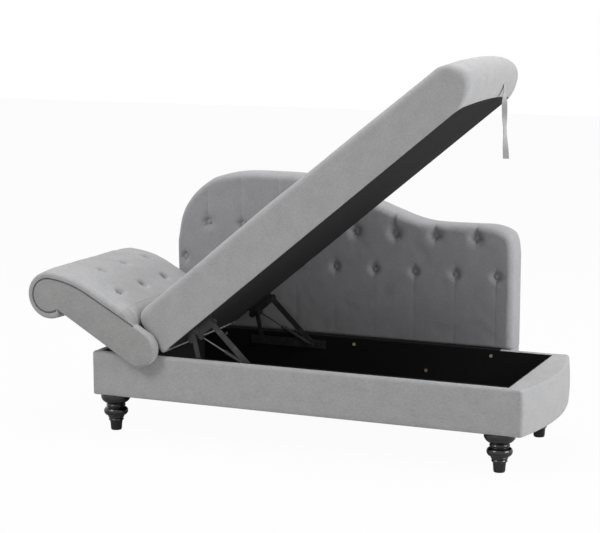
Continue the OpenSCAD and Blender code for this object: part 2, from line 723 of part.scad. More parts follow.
module lid_rail_part(a, b) color(timber) place() lifted() intersection() {
  prism(lid_plan(lid_skirt_t), lid_rail_z0, lid_rail_z1);
  brick([a[0], a[1], 0], [b[0], b[1], lid_t]);
}

module lid_rail_head() lid_rail_part([0, 0], [lid_core_head + lid_rail_w, base_d]);
module lid_rail_foot() lid_rail_part([lid_foot_x, 0], [lid_l + lid_bow, base_d]);
module lid_rail_front() lid_rail_part([lid_core_head + lid_rail_w, lid_y0],
  [lid_foot_x, lid_y0 + lid_skirt_t + lid_rail_w]);
module lid_rail_rear() lid_rail_part([lid_core_head + lid_rail_w, lid_y1 - lid_skirt_t - lid_rail_w],
  [lid_foot_x, lid_y1]);

module lid_board() color(timber) place() lifted() prism(lid_plan(lid_skirt_t), lid_rail_z1, lid_board_z1);
module lid_dust_cover() color(lining_black) place() lifted() prism(lid_plan(lid_hem_w), 0, cloth_t);

// Rings of the cushion: inset of the long sides and height above the underside
lid_top_steps = 5;
lid_low_rings = [lid_low_r * 0.3, lid_low_r, lid_t * 0.31, lid_t * 0.5, lid_t * 0.66];
lid_rings = concat(
  [[lid_hem, 0]],
  [for (z = lid_low_rings) [0, z]],
  [for (i = [0 : lid_top_steps]) let (a = 90 * i / lid_top_steps)
    [lid_edge_r * (1 - cos(a)), lid_t - lid_edge_r * (1 - sin(a))]],
  [for (s = [0.12, 0.45, 0.8, 1])
    [mix(lid_edge_r, (lid_y1 - lid_y0) / 2.2, s), lid_t + lid_crown * sin(90 * s)]]);

// How far a ring stands back at the head, and out or back at the foot end
function lid_head_back(z, inset) = z < lid_low_r ? edge_sink(z, lid_low_r)
  : edge_sink(lid_t - z, lid_end_r) + (z <= lid_t ? 0 : inset - lid_edge_r);
puff_power = 0.75;
function lid_end_out(z, inset) = lid_lean * min(1, z / lid_t)
  + lid_puff * sin(180 * pow(min(1, z / lid_t), puff_power))
  - edge_sink(lid_t - z, lid_end_r) - (z <= lid_t ? 0 : inset - lid_edge_r);
// The lid is a little thinner towards its foot end
function lid_height(x, z) = z * (1 - max(0, x - lid_flat_x) / (lid_l - lid_flat_x) * lid_taper / lid_t);
lid_cuts = [lid_flat_x * 0.5, lid_flat_x * 0.75, lid_flat_x, lid_flat_x * 1.5];

module ring_stack(rings) {
  loops = [for (r = rings) bow_plan(lid_l + lid_end_out(r[1], r[0]) + r[0], lid_y0, lid_y1, lid_bow,
    lid_head_r, lid_foot_r, r[0], lid_head_back(r[1], r[0]), lid_cuts)];
  n = len(loops[0]);
  m = len(rings);
  h = (n - 1) / 2;
  top = (m - 1) * n;
  polyhedron(points = [for (i = [0 : m - 1]) for (p = loops[i])
    [p[0], p[1], lid_height(p[0], rings[i][1])]],
    faces = concat(
      [[for (k = [0 : n - 1]) k]],
      [for (i = [0 : m - 2]) for (k = [0 : n - 1])
        [i * n + k, (i + 1) * n + k, (i + 1) * n + (k + 1) % n]],
      [for (i = [0 : m - 2]) for (k = [0 : n - 1])
        [i * n + k, (i + 1) * n + (k + 1) % n, i * n + (k + 1) % n]],
      [for (k = [0 : h - 2]) [top + n - 1 - k, top + n - 2 - k, top + k + 1, top + k]],
      [[top + h + 1, top + h, top + h - 1]]), convexity = 6);
}

module lid_cushion() color(fabric_grey) place() lifted() difference() {
  ring_stack(lid_rings);
  prism(lid_plan(lid_skirt_t), -over, lid_board_z1);
  prism(lid_plan(lid_hem_w), -over, cloth_t);
}

// Lid plate: a web under the lid, a bar with both pivots, an ear for the strut
module lid_plate() lifted() {
  x0 = coupler_a_along - lid_plate_ends + lid_plate_w / 2;
  x1 = coupler_b_along + lid_plate_ends - lid_plate_w;
  flat_link([x0, -coupler_drop], [x1, -coupler_drop], lid_plate_w, plate_y, plate_y + steel_t);
  brick([x0, plate_y, -coupler_drop], [x1, plate_y + steel_t, 0]);
  brick([x0, plate_y, -steel_t], [x1, plate_y + lid_flange_w, 0]);
  bar(strut_eye, strut_head_r, plate_y, plate_y + steel_t);
  bar(coupler_a, pin_head_r, plate_y + steel_t, plate_y + steel_t + head_t);
  bar(coupler_b, pin_r, long_y - link_pin_in, plate_y + steel_t / 2);
  bar(coupler_b, pin_head_r, long_y - link_pin_in, long_y - seat_gap);
}

module lid_plate_front() color(steel_dark) place() lid_plate();
module lid_plate_rear() color(steel_dark) place() rear_side() lid_plate();

// The strap is sewn to the low roll of the lid's bowed end and hangs plumb off its folded top
strap_up = lid_low_r;
strap_y = mix(lid_y0, lid_y1, strap_y_share);
lid_bow_r = (pow(lid_y1 - lid_y0, 2) / 4 + lid_bow * lid_bow) / (2 * lid_bow);
strap_off = strap_y - strap_w / 2 - (lid_y0 + lid_y1) / 2;
lid_end_x = lid_l + lid_bow - lid_bow_r + sqrt(lid_bow_r * lid_bow_r - strap_off * strap_off);
strap_along = lid_end_x + lid_end_out(strap_up, 0);
strap_hold = [strap_along, lid_height(strap_along, strap_up)];
strap_top = lid_point(strap_hold);
strap_x = strap_top[0] + seat_gap + strap_fold;
module pull_strap() color(strap_grey) place()
  brick([strap_x, strap_y - strap_w / 2, strap_top[1] - strap_l],
    [strap_x + strap_t, strap_y + strap_w / 2, strap_top[1] - seat_gap / 3]);

// Arm: points and directions on the panel's upper outline, by distance from the pivot
function arm_outline(t) =
  t <= arm_straight_l ? [t, arm_half_w, 90]
  : t <= arm_straight_l + lead_len
    ? let (a = 90 - (t - arm_straight_l) / lead_r * 180 / PI)
      [lead_c[0] + lead_r * cos(a), lead_c[1] + lead_r * sin(a), a]
    : let (a = lead_end_angle - (t - arm_straight_l - lead_len) / scroll_r * 180 / PI)
      [scroll_c[0] + scroll_r * cos(a), scroll_c[1] + scroll_r * sin(a), a];
function arm_at(t, h) = let (p = arm_outline(t)) [p[0] + h * cos(p[2]), p[1] + h * sin(p[2])];

// Distances along the outline: pairs at both tuft rows, and one where the roll reaches
// furthest out
arm_far_t = arm_straight_l + lead_len + scroll_r * (lead_end_angle + arm_angle) * PI / 180;
arm_lead_t = arm_straight_l + lead_len;
roll_top_n = 6;
roll_under_n = 8;
arm_rows = concat([
  arm_cushion_start, mix(arm_cushion_start, arm_tuft_row_a, 0.35),
  arm_tuft_row_a - 3 * tuft_flat, arm_tuft_row_a - tuft_flat, arm_tuft_row_a + tuft_flat,
  arm_tuft_row_a + 3 * tuft_flat, mix(arm_tuft_row_a, arm_tuft_row_b, 0.5),
  arm_tuft_row_b - 3 * tuft_flat, arm_tuft_row_b - tuft_flat, arm_tuft_row_b + tuft_flat],
  [for (s = [0.4, 0.75, 1]) mix(arm_tuft_row_b + tuft_flat, arm_lead_t, s)],
  [for (i = [1 : roll_top_n]) mix(arm_lead_t, arm_far_t, i / roll_top_n)],
  [for (i = [1 : roll_under_n]) mix(arm_far_t, arm_outline_len, i / roll_under_n)]);
// The side panels follow the cushion's rows
function outline_points(start, inset) = [for (t = arm_rows) if (t > start)
  let (p = arm_outline(t)) [p[0] - inset * cos(p[2]), p[1] - inset * sin(p[2])]];

arm_tufts = concat(
  [for (i = [0 : arm_tuft_count - 1]) [arm_tuft_row_a, arm_tuft_first_y + i * arm_tuft_pitch]],
  [for (i = [0 : arm_tuft_count - 1]) [arm_tuft_row_b, arm_tuft_first_y + (i + 0.5) * arm_tuft_pitch]]);
arm_mid_y = (arm_front_y + arm_rear_y) / 2;
arm_columns = concat(
  [arm_front_y, arm_front_y + small_r, arm_front_y + 3 * small_r, arm_front_y + 9 * small_r],
  [for (i = [0 : 2 * arm_tuft_count - 1]) for (d = [-tuft_flat, tuft_flat, arm_tuft_pitch / 4])
    if (arm_tuft_first_y + i * arm_tuft_pitch / 2 + d < arm_rear_y - 6 * small_r)
      arm_tuft_first_y + i * arm_tuft_pitch / 2 + d],
  [arm_rear_y - 5 * small_r, arm_rear_y - 2 * small_r, arm_rear_y]);
function arm_thickness(t, y) =
  arm_pad_t - edge_sink(min(y - arm_front_y, arm_rear_y - y), 2 * small_r)
  + arm_crown * (1 - pow(abs(y - arm_mid_y) / (arm_mid_y - arm_front_y), arm_crown_power))
  - tuft_sink([t, y], arm_tufts, arm_tuft_depth, arm_tuft_spread);
// A button rests on the highest part of the cushion under it
function arm_button_h(q) = seat_gap + max([for (d = [-tuft_flat, 0, tuft_flat])
  for (e = [-tuft_flat, 0, tuft_flat]) arm_thickness(q[0] + d, q[1] + e)]);

module tilted() translate([arm_pivot[0], 0, arm_pivot[1]]) rotate([0, arm_angle, 0])
  mirror([1, 0, 0]) children();

module arm_shell() {
  nt = len(arm_rows);
  ny = len(arm_columns);
  outer = [for (t = arm_rows) for (y = arm_columns)
    let (p = arm_at(t, arm_thickness(t, y))) [p[0], y, p[1]]];
  inner = [for (t = arm_rows) for (y = [arm_front_y, arm_rear_y])
    let (p = arm_at(t, seat_gap)) [p[0], y, p[1]]];
  n = nt * ny;
  last = (nt - 1) * ny;
  polyhedron(points = concat(outer, inner), faces = concat(
    [for (i = [0 : nt - 2]) for (j = [0 : ny - 2]) [i * ny + j, (i + 1) * ny + j, (i + 1) * ny + j + 1]],
    [for (i = [0 : nt - 2]) for (j = [0 : ny - 2]) [i * ny + j, (i + 1) * ny + j + 1, i * ny + j + 1]],
    [for (i = [0 : nt - 2]) [n + 2 * i, n + 2 * i + 1, n + 2 * i + 3]],
    [for (i = [0 : nt - 2]) [n + 2 * i, n + 2 * i + 3, n + 2 * i + 2]],
    [for (i = [0 : nt - 2]) [i * ny, n + 2 * i, n + 2 * i + 2]],
    [for (i = [0 : nt - 2]) [i * ny, n + 2 * i + 2, (i + 1) * ny]],
    [for (i = [0 : nt - 2]) [i * ny + ny - 1, (i + 2) * ny - 1, n + 2 * i + 3]],
    [for (i = [0 : nt - 2]) [i * ny + ny - 1, n + 2 * i + 3, n + 2 * i + 1]],
    [concat([for (j = [0 : ny - 1]) j], [n + 1, n])],
    [concat([for (j = [0 : ny - 1]) last + ny - 1 - j], [n + 2 * nt - 2, n + 2 * nt - 1])]),
    convexity = 8);
}

module arm_cushion() color(fabric_grey) place() tilted() arm_shell();

module arm_buttons() color(fabric_grey) place() tilted() for (q = arm_tufts) {
  p = arm_at(q[0], arm_button_h(q));
  translate([p[0], q[1], p[1]]) rotate([0, 90 - arm_outline(q[0])[2], 0]) button_dome();
}

// Side panel outline: round end at the pivot, straight, lead arc, scroll, underside
function panel_points(inset) = concat(
  arc([0, 0], arm_half_w - inset, 268, 92, 24),
  outline_points(arm_tuft_row_a, inset),
  [[scroll_c[0] - scroll_r, inset - under_drop]]);

module arm_slab(y0, y1) place() tilted() slab(y0, y1) children();

module arm_board_front() color(timber) place() tilted() difference() {
  slab(arm_board_y - arm_board_t, arm_board_y) polygon(panel_points(board_inset));
  bar([0, 0], pivot_pin_r + fit_gap, arm_board_y - arm_board_t - over, arm_board_y + over);
}

module arm_panel_front() color(fabric_grey) place() tilted() difference() {
  slab(arm_front_y, arm_board_y - arm_board_t) polygon(panel_points(0));
  bar([0, 0], pivot_head_r + over, arm_board_y - arm_board_t - pivot_head_t - over, arm_board_y);
}

// Border of the cover on the front panel's straight edge
border_start = 30;
module arm_border_front() color(fabric_grey) arm_slab(arm_front_y, arm_board_y - seat_gap)
  polygon([[border_start, arm_half_w + seat_gap], [arm_cushion_start - seat_gap, arm_half_w + seat_gap],
    [arm_cushion_start - seat_gap, arm_half_w + arm_pad_t],
    [border_start + 2 * arm_pad_t, arm_half_w + arm_pad_t],
    [border_start + arm_pad_t / 2, arm_half_w + arm_pad_t / 2]]);

// Rear side panel, which stops short of the lid
rear_panel_start = arm_cushion_start + 13;
function rear_panel_points(inset) = concat(
  [[rear_panel_start, inset - under_inner_drop], [rear_panel_start, arm_half_w - inset]],
  outline_points(arm_tuft_row_a, inset),
  [[scroll_c[0] - scroll_r, inset - under_drop],
    [under_step_along, inset - under_inner_drop - 2 * small_r]]);

rear_leaf_y0 = arm_rear_board_y + arm_board_t;
module arm_board_rear() color(timber) arm_slab(arm_rear_board_y, rear_leaf_y0)
  polygon(rear_panel_points(board_inset));

module leaf_shape(grow) {
  bar([0, 0], leaf_w / 2 + grow, rear_leaf_y0, rear_leaf_y0 + bracket_t + grow);
  brick([0, rear_leaf_y0, -leaf_w / 2 - grow],
    [leaf_l + grow, rear_leaf_y0 + bracket_t + grow, leaf_w / 2 + grow]);
}

module arm_leaf_rear() color(steel_dark) place() tilted() difference() {
  leaf_shape(0);
  bar([0, 0], pivot_pin_r + fit_gap, rear_leaf_y0 - over, rear_leaf_y0 + bracket_t + over);
}

module arm_panel_rear() color(fabric_grey) place() tilted() difference() {
  slab(rear_leaf_y0, arm_rear_y) polygon(rear_panel_points(0));
  brick([0, rear_leaf_y0 - over, -leaf_w / 2 - seat_gap],
    [leaf_l + seat_gap, rear_leaf_y0 + bracket_t + seat_gap, leaf_w / 2 + seat_gap]);
}

arm_top_board_t = 14;
module arm_top_board() color(timber) arm_slab(arm_board_y, arm_rear_board_y)
  polygon([[rear_panel_start, arm_half_w - board_inset - arm_top_board_t],
    [rear_panel_start, arm_half_w - board_inset],
    [arm_straight_l, arm_half_w - board_inset],
    [arm_straight_l, arm_half_w - board_inset - arm_top_board_t]]);

module arm_roll_tube() color(timber) place() tilted() difference() {
  bar(scroll_c, scroll_r - board_inset, arm_board_y, arm_rear_board_y);
  bar(scroll_c, scroll_r - 3 * board_inset, arm_board_y - over, arm_rear_board_y + over);
}

module arm_under_cloth() color(lining_black) arm_slab(arm_board_y, arm_rear_board_y)
  polygon([[rear_panel_start, board_inset - under_inner_drop],
    [under_step_along, board_inset - under_inner_drop - 2 * small_r],
    [scroll_c[0] - scroll_r, board_inset - under_drop],
    [scroll_c[0] - scroll_r, board_inset - under_drop + cloth_t],
    [under_step_along, board_inset - under_inner_drop - 2 * small_r + cloth_t],
    [rear_panel_start, board_inset - under_inner_drop + cloth_t]]);

// Soft toe of the arm's cushion, in the crease between the arm and the lid
toe_low = 30;
toe_tip_share = 0.56;
module arm_toe_cushion() color(fabric_grey)
  arm_slab(arm_board_y + seat_gap, lid_y1)
  polygon([[arm_cushion_start - seat_gap, toe_low],
    [arm_cushion_start * toe_tip_share, toe_low],
    [arm_cushion_start * toe_tip_share + toe_low / 3, toe_low * 1.7],
    [arm_cushion_start * 0.71, arm_half_w + arm_pad_t * 0.7],
    [arm_cushion_start * 0.78, arm_half_w + arm_pad_t],
    [arm_cushion_start - seat_gap, arm_half_w + arm_pad_t + arm_crown / 2]]);

// Fixed arm brackets: a plate on the front rail and an angle on the rear rim
module arm_bracket_front() color(steel_dark) place() {
  difference() {
    intersection() {
      bar(arm_pivot, bracket_r, arm_board_y + seat_gap, 0);
      brick([arm_pivot[0] - bracket_r, -2 * small_r, rim_z - bracket_r / 2],
        [arm_pivot[0] + bracket_r, over, rim_z + 2 * bracket_r]);
    }
    for (d = [-1, 1]) bar([arm_pivot[0] + d * bracket_r / 2, rim_z - small_r * 2], back_bolt_r,
      arm_board_y, over);
  }
  bar(arm_pivot, pivot_pin_r, arm_board_y - arm_board_t - pivot_head_t, 0);
  bar(arm_pivot, pivot_head_r, arm_board_y - arm_board_t - pivot_head_t,
    arm_board_y - arm_board_t - seat_gap);
}

module arm_bracket_rear() color(steel_dark) place() {
  web_y = rear_leaf_y0 + bracket_t + seat_gap;
  difference() {
    brick([arm_pivot[0] - bracket_foot_w / 2, lid_y1 + over, rim_z],
      [arm_pivot[0] + bracket_foot_w / 2, base_d - small_r, rim_z + bracket_t - over]);
    for (d = [-1, 1]) translate([arm_pivot[0] + d * bracket_foot_w / 3, base_d - 2 * small_r, rim_z - over])
      cylinder(r = back_bolt_r, h = bracket_t + over, $fn = round_steps);
  }
  brick([arm_pivot[0] - leaf_w / 2, web_y, rim_z],
    [arm_pivot[0] + leaf_w / 2, web_y + bracket_t - over, arm_pivot[1]]);
  bar(arm_pivot, leaf_w / 2, web_y, web_y + bracket_t - over);
  bar(arm_pivot, pivot_pin_r, rear_leaf_y0 - seat_gap - head_t, web_y + over);
  bar(arm_pivot, pivot_head_r, rear_leaf_y0 - seat_gap - head_t, rear_leaf_y0 - seat_gap);
}

front_rail();
rear_rail();
head_rail();
foot_rail();
corner_blocks();
front_cover();
rear_cover();
head_cover();
foot_cover();
bottom_cloth();
storage_floor();
box_lining();
bulkhead();
head_deck();
head_deck_cover();
foot_front_left();
foot_front_right();
foot_rear_left();
foot_rear_right();
foot_bolts();
back_board();
back_spacer_rail();
back_cushion();
back_buttons();
back_rear_cloth();
back_bolts();
hinge_plate_front();
hinge_plate_rear();
arm_bracket_front();
arm_bracket_rear();
lid_rail_front();
lid_rail_rear();
lid_rail_head();
lid_rail_foot();
lid_board();
lid_cushion();
lid_dust_cover();
lid_plate_front();
lid_plate_rear();
pull_strap();
arm_board_front();
arm_panel_front();
arm_border_front();
arm_board_rear();
arm_panel_rear();
arm_top_board();
arm_roll_tube();
arm_cushion();
arm_toe_cushion();
arm_buttons();
arm_under_cloth();
arm_leaf_rear();
short_link_front();
short_link_rear();
long_link_front();
long_link_rear();
strut_cylinder_front();
strut_cylinder_rear();
strut_rod_front();
strut_rod_rear();
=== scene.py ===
"""Chaise longue sofa bed: storage base, lift-up seat on a steel linkage, scrolled tilting arm and tufted
backrest. Shapes are worked out in millimetres from the base's head front corner and placed in metres."""
import json
import math

import bpy
import numpy as np
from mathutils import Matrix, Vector, noise


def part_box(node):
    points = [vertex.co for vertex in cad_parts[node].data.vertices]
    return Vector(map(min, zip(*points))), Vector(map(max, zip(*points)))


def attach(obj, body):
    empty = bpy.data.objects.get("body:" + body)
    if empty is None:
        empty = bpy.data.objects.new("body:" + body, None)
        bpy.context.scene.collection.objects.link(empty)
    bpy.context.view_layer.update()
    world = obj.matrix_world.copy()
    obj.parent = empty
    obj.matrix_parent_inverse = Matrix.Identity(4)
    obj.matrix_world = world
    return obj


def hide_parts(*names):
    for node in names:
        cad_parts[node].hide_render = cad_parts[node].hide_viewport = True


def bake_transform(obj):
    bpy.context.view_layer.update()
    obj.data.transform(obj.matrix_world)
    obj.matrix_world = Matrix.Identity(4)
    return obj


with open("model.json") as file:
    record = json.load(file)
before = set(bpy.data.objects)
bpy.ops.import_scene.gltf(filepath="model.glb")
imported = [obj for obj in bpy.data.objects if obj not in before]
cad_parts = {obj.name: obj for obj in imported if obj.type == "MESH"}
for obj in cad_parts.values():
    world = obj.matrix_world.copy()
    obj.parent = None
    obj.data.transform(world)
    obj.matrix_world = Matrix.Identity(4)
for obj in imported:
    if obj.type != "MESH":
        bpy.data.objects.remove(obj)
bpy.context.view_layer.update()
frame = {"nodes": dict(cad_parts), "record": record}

MM = 0.001
CORNER = Vector((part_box("head_cover")[0].x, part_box("front_cover")[0].y, 0.0))


def at(x, y, z):
    """A point in millimetres from the base's head front corner on the floor, placed in metres."""
    return (CORNER.x + x * MM, CORNER.y + y * MM, z * MM)


# Base
BASE_L = 1515.0
BASE_D = 580.0
BASE_BOW = 42.0
BASE_HEAD_R = 12.0
BASE_FOOT_R = 11.0
BASE_SWELL = 4.5
FOOT_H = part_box("front_cover")[0].z / MM
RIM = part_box("front_cover")[1].z / MM
RIM_R = 9.0
HEM = 5.0
WALL = 29.0
BOX_FOOT = 1463.0
FOOT_R = 51.0
FOOT_LEFT = 61.0
FOOT_RIGHT = 1431.0
FOOT_IN = 54.0

# Seat lid, in its own frame: along from its head end, off its underside
LID_EDGE = (262.0, RIM + 9.0)
LID_ANGLE = 39.5
LID_L = 1345.0
LID_BOW = 25.0
LID_Y0 = 2.0
LID_Y1 = 555.0
LID_T = 160.0
LID_TAPER = 15.0
LID_FLAT = 600.0
LID_CROWN = 8.0
LID_CROWN_RUN = 235.0
LID_LEAN = 48.0
LID_PUFF = 58.0
LID_END_R = 48.0
LID_LOW_R = 7.0
LID_HEAD_R = 25.0
LID_FOOT_R = 26.0
LID_SIDE_R = 30.0
DUST_FOOT_R = 40.0
DUST_HEAD_GAP = 24.0
STAPLE_IN = 13.0
STRAP_L = 240.0
STRAP_W = 20.0
STRAP_T = 1.6
STRAP_UP = 20.0
STRAP_PLACE_SHARE = 0.62

# Arm, in its own frame: along from its pivot, out of its centre line
ARM_PIVOT = (198.0, RIM + 29.0)
ARM_ANGLE = 29.0
ARM_STRAIGHT = 250.0
ARM_HALF = 61.0
SCROLL = (376.0, -24.5)
SCROLL_R = 58.5
ARM_PAD = 21.0
ARM_CROWN = 6.0
ARM_BULGE = 11.0
ARM_BULGE_RUN = 150.0
ARM_FRONT = -43.0
ARM_REAR = 566.0
ARM_START = 112.0
ARM_EDGE_R = 11.0
ARM_END_R = 17.0
PANEL_STEP = (317.5, -49.0)
PANEL_PITCH = 7.0
PANEL_EDGE_R = 5.0
PIVOT_EDGE_R = 9.0
REAR_PANEL_START = 125.0
PIPING_R = 2.0
TOE_START = 44.0
TOE_END = ARM_START + 4.0
TOE_DROP = 36.0
TOE_EDGE_R = 8.0
TOE_TUCK = 0.5
BORDER_Y = -3.4
ARM_ROW_A = 184.0
ARM_ROW_B = 310.0
ARM_TUFT_Y = 62.0
ARM_TUFT_PITCH = 165.0
ARM_TUFT_REACH = 19.0
ARM_TUFT_DEPTH = 12.0
ARM_TUFT_MORE = 5.0
ARM_CREASE_SHARE = 0.42
ARM_PLEAT = 4.5
ARM_PLEAT_SIDES = (4, 14)
ARM_BUTTON_R = 8.5
BUTTON_LIFT = 1.0

# Backrest
BACK_X = 40.0
BACK_L = 1276.0
BACK_LOW = RIM + 1.5
BACK_RISE = 568.0
BACK_Y0 = 568.0
BACK_Y2 = 672.0
BACK_PAD = 62.0
BACK_EDGE_R = 24.0
BACK_FOOT_R = 9.0
BACK_FOOT_Y = 581.0
TUFT_X = 76.0
TUFT_PITCH = 147.6
TUFT_LOW = RIM + 250.0
TUFT_HIGH = RIM + 380.0
BACK_CREASE_SHARE = 0.26
BACK_FOLD = 3.0
BACK_PLEAT = 6.0
BACK_FAINT_PLEAT = 0.55
REAR_LOW = FOOT_H + 20.0
BUTTON_R = 11.0


def lid_point(a, y, n):
    """A point given along the seat, across it and off its underside."""
    c, s = cosd(LID_ANGLE), sind(LID_ANGLE)
    return LID_EDGE[0] + a * c - n * s, y, LID_EDGE[1] + a * s + n * c


def arm_point(s, y, n):
    """A point given along the arm, across it and out of its centre line."""
    c, k = cosd(ARM_ANGLE), sind(ARM_ANGLE)
    return ARM_PIVOT[0] - s * c + n * k, y, ARM_PIVOT[1] + s * k + n * c


def cosd(degrees):
    return math.cos(math.radians(degrees))


def sind(degrees):
    return math.sin(math.radians(degrees))


def smooth(t):
    """Rises from 0 to 1 without a corner."""
    t = min(1.0, max(0.0, t))
    return t * t * (3 - 2 * t)


def ramp(d, start, run):
    """Rises smoothly from 0 to 1 over a run that starts at a distance."""
    return smooth((d - start) / run)


def edge_sink(d, r):
    """How far a surface stands back at a distance from an edge of that radius."""
    return 0.0 if d >= r else r - math.sqrt(max(0.0, r * r - (r - d) ** 2))


def ripples(x, y, z, waves):
    """Random waviness of cloth; each wave has its height, its size and a shift of its own."""
    return sum(height * noise.noise(Vector((x / size, y / size, (z + shift) / size)))
               for height, size, shift in waves)


# Meshes
def link(name, data):
    """A new object in the scene, at the origin."""
    obj = bpy.data.objects.new(name, data)
    bpy.context.scene.collection.objects.link(obj)
    return obj


def mounted(name, mesh, body):
    """A piece that rides on a body."""
    obj = link(name, mesh)
    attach(obj, body)
    return obj


def piece(name, points, faces, material, body, sharp=None):
    """A finished mesh from points in millimetres."""
    mesh = bpy.data.meshes.new(name)
    mesh.from_pydata([at(*p) for p in points], [], faces)
    mesh.validate()
    mesh.shade_smooth()
    if sharp:
        mesh.set_sharp_from_angle(angle=math.radians(sharp))
    mesh.materials.append(material)
    return mounted(name, mesh, body)


def ring_faces(rings, size):
    """Quads between neighbouring closed rings of points."""
    return [(i * size + k, i * size + (k + 1) % size, (i + 1) * size + (k + 1) % size, (i + 1) * size + k)
            for i in range(rings - 1) for k in range(size)]


def turned(faces):
    """The same faces seen from their other side."""
    return [tuple(reversed(f)) for f in faces]


def loft(name, rings, material, body, sharp, flip=False):
    """A closed skin through rings of points, with one face over the first ring and one over the last."""
    size = len(rings[0])
    last = (len(rings) - 1) * size
    faces = ring_faces(len(rings), size) + [tuple(reversed(range(size))), tuple(range(last, last + size))]
    return piece(name, sum(rings, []), turned(faces) if flip else faces, material, body, sharp)


def arc(cx, cy, r, a0, a1, n):
    """Points of an arc in n steps between two angles in degrees."""
    angles = [a0 + (a1 - a0) * i / n for i in range(n + 1)]
    return [(cx + r * cosd(a), cy + r * sind(a)) for a in angles]


def line(p, q, n):
    """The points inside a straight run of n steps."""
    return [(p[0] + (q[0] - p[0]) * i / n, p[1] + (q[1] - p[1]) * i / n) for i in range(1, n)]


HEAD_STEPS = 12
CORNER_STEPS = 8
FOOT_CORNER_STEPS = 10
BOW_STEPS = 14
# Points from the middle of the head end to the first one past its corner
HEAD_LEAD = HEAD_STEPS + CORNER_STEPS + 1


def bow_outline(x1, y0, y1, bow, r_head, r_foot, inset, head, side_n=56):
    """Plan of a box with a bowed foot end, from the middle of its head end round the front."""
    w = y1 - y0
    mid = (y0 + y1) / 2
    big = (w * w / 4 + bow * bow) / (2 * bow)
    cx = x1 + bow - big
    rh = max(r_head - inset, 1.0)
    rf = max(r_foot - inset, 1.0)
    lo = y0 + inset
    fx = cx + math.sqrt((big - inset - rf) ** 2 - (mid - lo - rf) ** 2)
    a = math.degrees(math.atan2(lo + rf - mid, fx - cx))
    corner = arc(head + rh, lo + rh, rh, 180, 270, CORNER_STEPS)
    foot = arc(fx, lo + rf, rf, 270, 360 + a, FOOT_CORNER_STEPS)
    bowed = arc(cx, mid, big - inset, a, 0, BOW_STEPS)[1:]
    half = ([(head, mid)] + line((head, mid), corner[0], HEAD_STEPS) + corner
            + line(corner[-1], foot[0], side_n) + foot + bowed)
    return half + [(x, 2 * mid - y) for x, y in reversed(half[1:-1])]


def folded_cap(start, size):
    """Closes a bowed plan: one face over its straight head end, then quads from side to side."""
    head = [start + k for k in range(HEAD_LEAD + 1)] + [start + size - k for k in range(HEAD_LEAD, 0, -1)]
    faces = [tuple(head)]
    for k in range(HEAD_LEAD, size // 2):
        corners = []
        for v in (k, k + 1, (size - k - 1) % size, (size - k) % size):
            if start + v not in corners:
                corners.append(start + v)
        if len(corners) > 2:
            faces.append(tuple(corners))
    return faces


# Node trees
def feed(tree, node, inputs):
    """Gives a node's inputs a constant, or a link where the value is another node's output."""
    for name, value in inputs.items():
        if isinstance(value, bpy.types.NodeSocket):
            tree.links.new(value, node.inputs[name])
        else:
            node.inputs[name].default_value = value


def add_node(tree, kind, inputs, output=0, **settings):
    """Adds a node with its settings and inputs, and returns one of its outputs."""
    node = tree.nodes.new(kind)
    for name, value in settings.items():
        setattr(node, name, value)
    feed(tree, node, inputs)
    return node.outputs[output]


def new_tree(name, kind, inputs, outputs):
    """A node group with named inputs and outputs, each of its own kind of socket."""
    tree = bpy.data.node_groups.new(name, kind)
    for way, sockets in (("INPUT", inputs), ("OUTPUT", outputs)):
        for label, holds in sockets.items():
            tree.interface.new_socket(label, in_out=way, socket_type="NodeSocket" + holds)
    return tree, tree.nodes.new("NodeGroupInput").outputs, tree.nodes.new("NodeGroupOutput")


def math_node(tree, operation, a, b):
    return add_node(tree, "ShaderNodeMath", {0: a, 1: b}, operation=operation)


# Materials
SURFACE = {"Color": "Color", "Roughness": "Float", "Height": "Float"}


def stretched_noise(tree, size, stretch, detail):
    """Noise in threads: the object's own space is divided by the thread size and squeezed one way."""
    place = add_node(tree, "ShaderNodeTexCoord", {}, output="Object")
    scaled = add_node(tree, "ShaderNodeVectorMath", {0: place, 1: size}, operation="DIVIDE")
    squeezed = add_node(tree, "ShaderNodeVectorMath", {0: scaled, 1: stretch}, operation="MULTIPLY")
    return add_node(tree, "ShaderNodeTexNoise", {"Vector": squeezed, "Scale": 1.0, "Detail": detail},
                    output="Fac")


def spread_out(tree, value, low, high):
    """Stretches the range of a value between two limits over 0 to 1."""
    return add_node(tree, "ShaderNodeMapRange", {"Value": value, "From Min": low, "From Max": high})


def mixed_color(tree, share, a, b):
    return add_node(tree, "ShaderNodeMix", {"Factor": share, "A": a, "B": b}, output="Result",
                    data_type="RGBA")


def weighted(tree, first, *others):
    """Sum of values, each times its weight."""
    total = math_node(tree, "MULTIPLY", *first)
    for value, weight in others:
        total = math_node(tree, "ADD", total, math_node(tree, "MULTIPLY", value, weight))
    return total


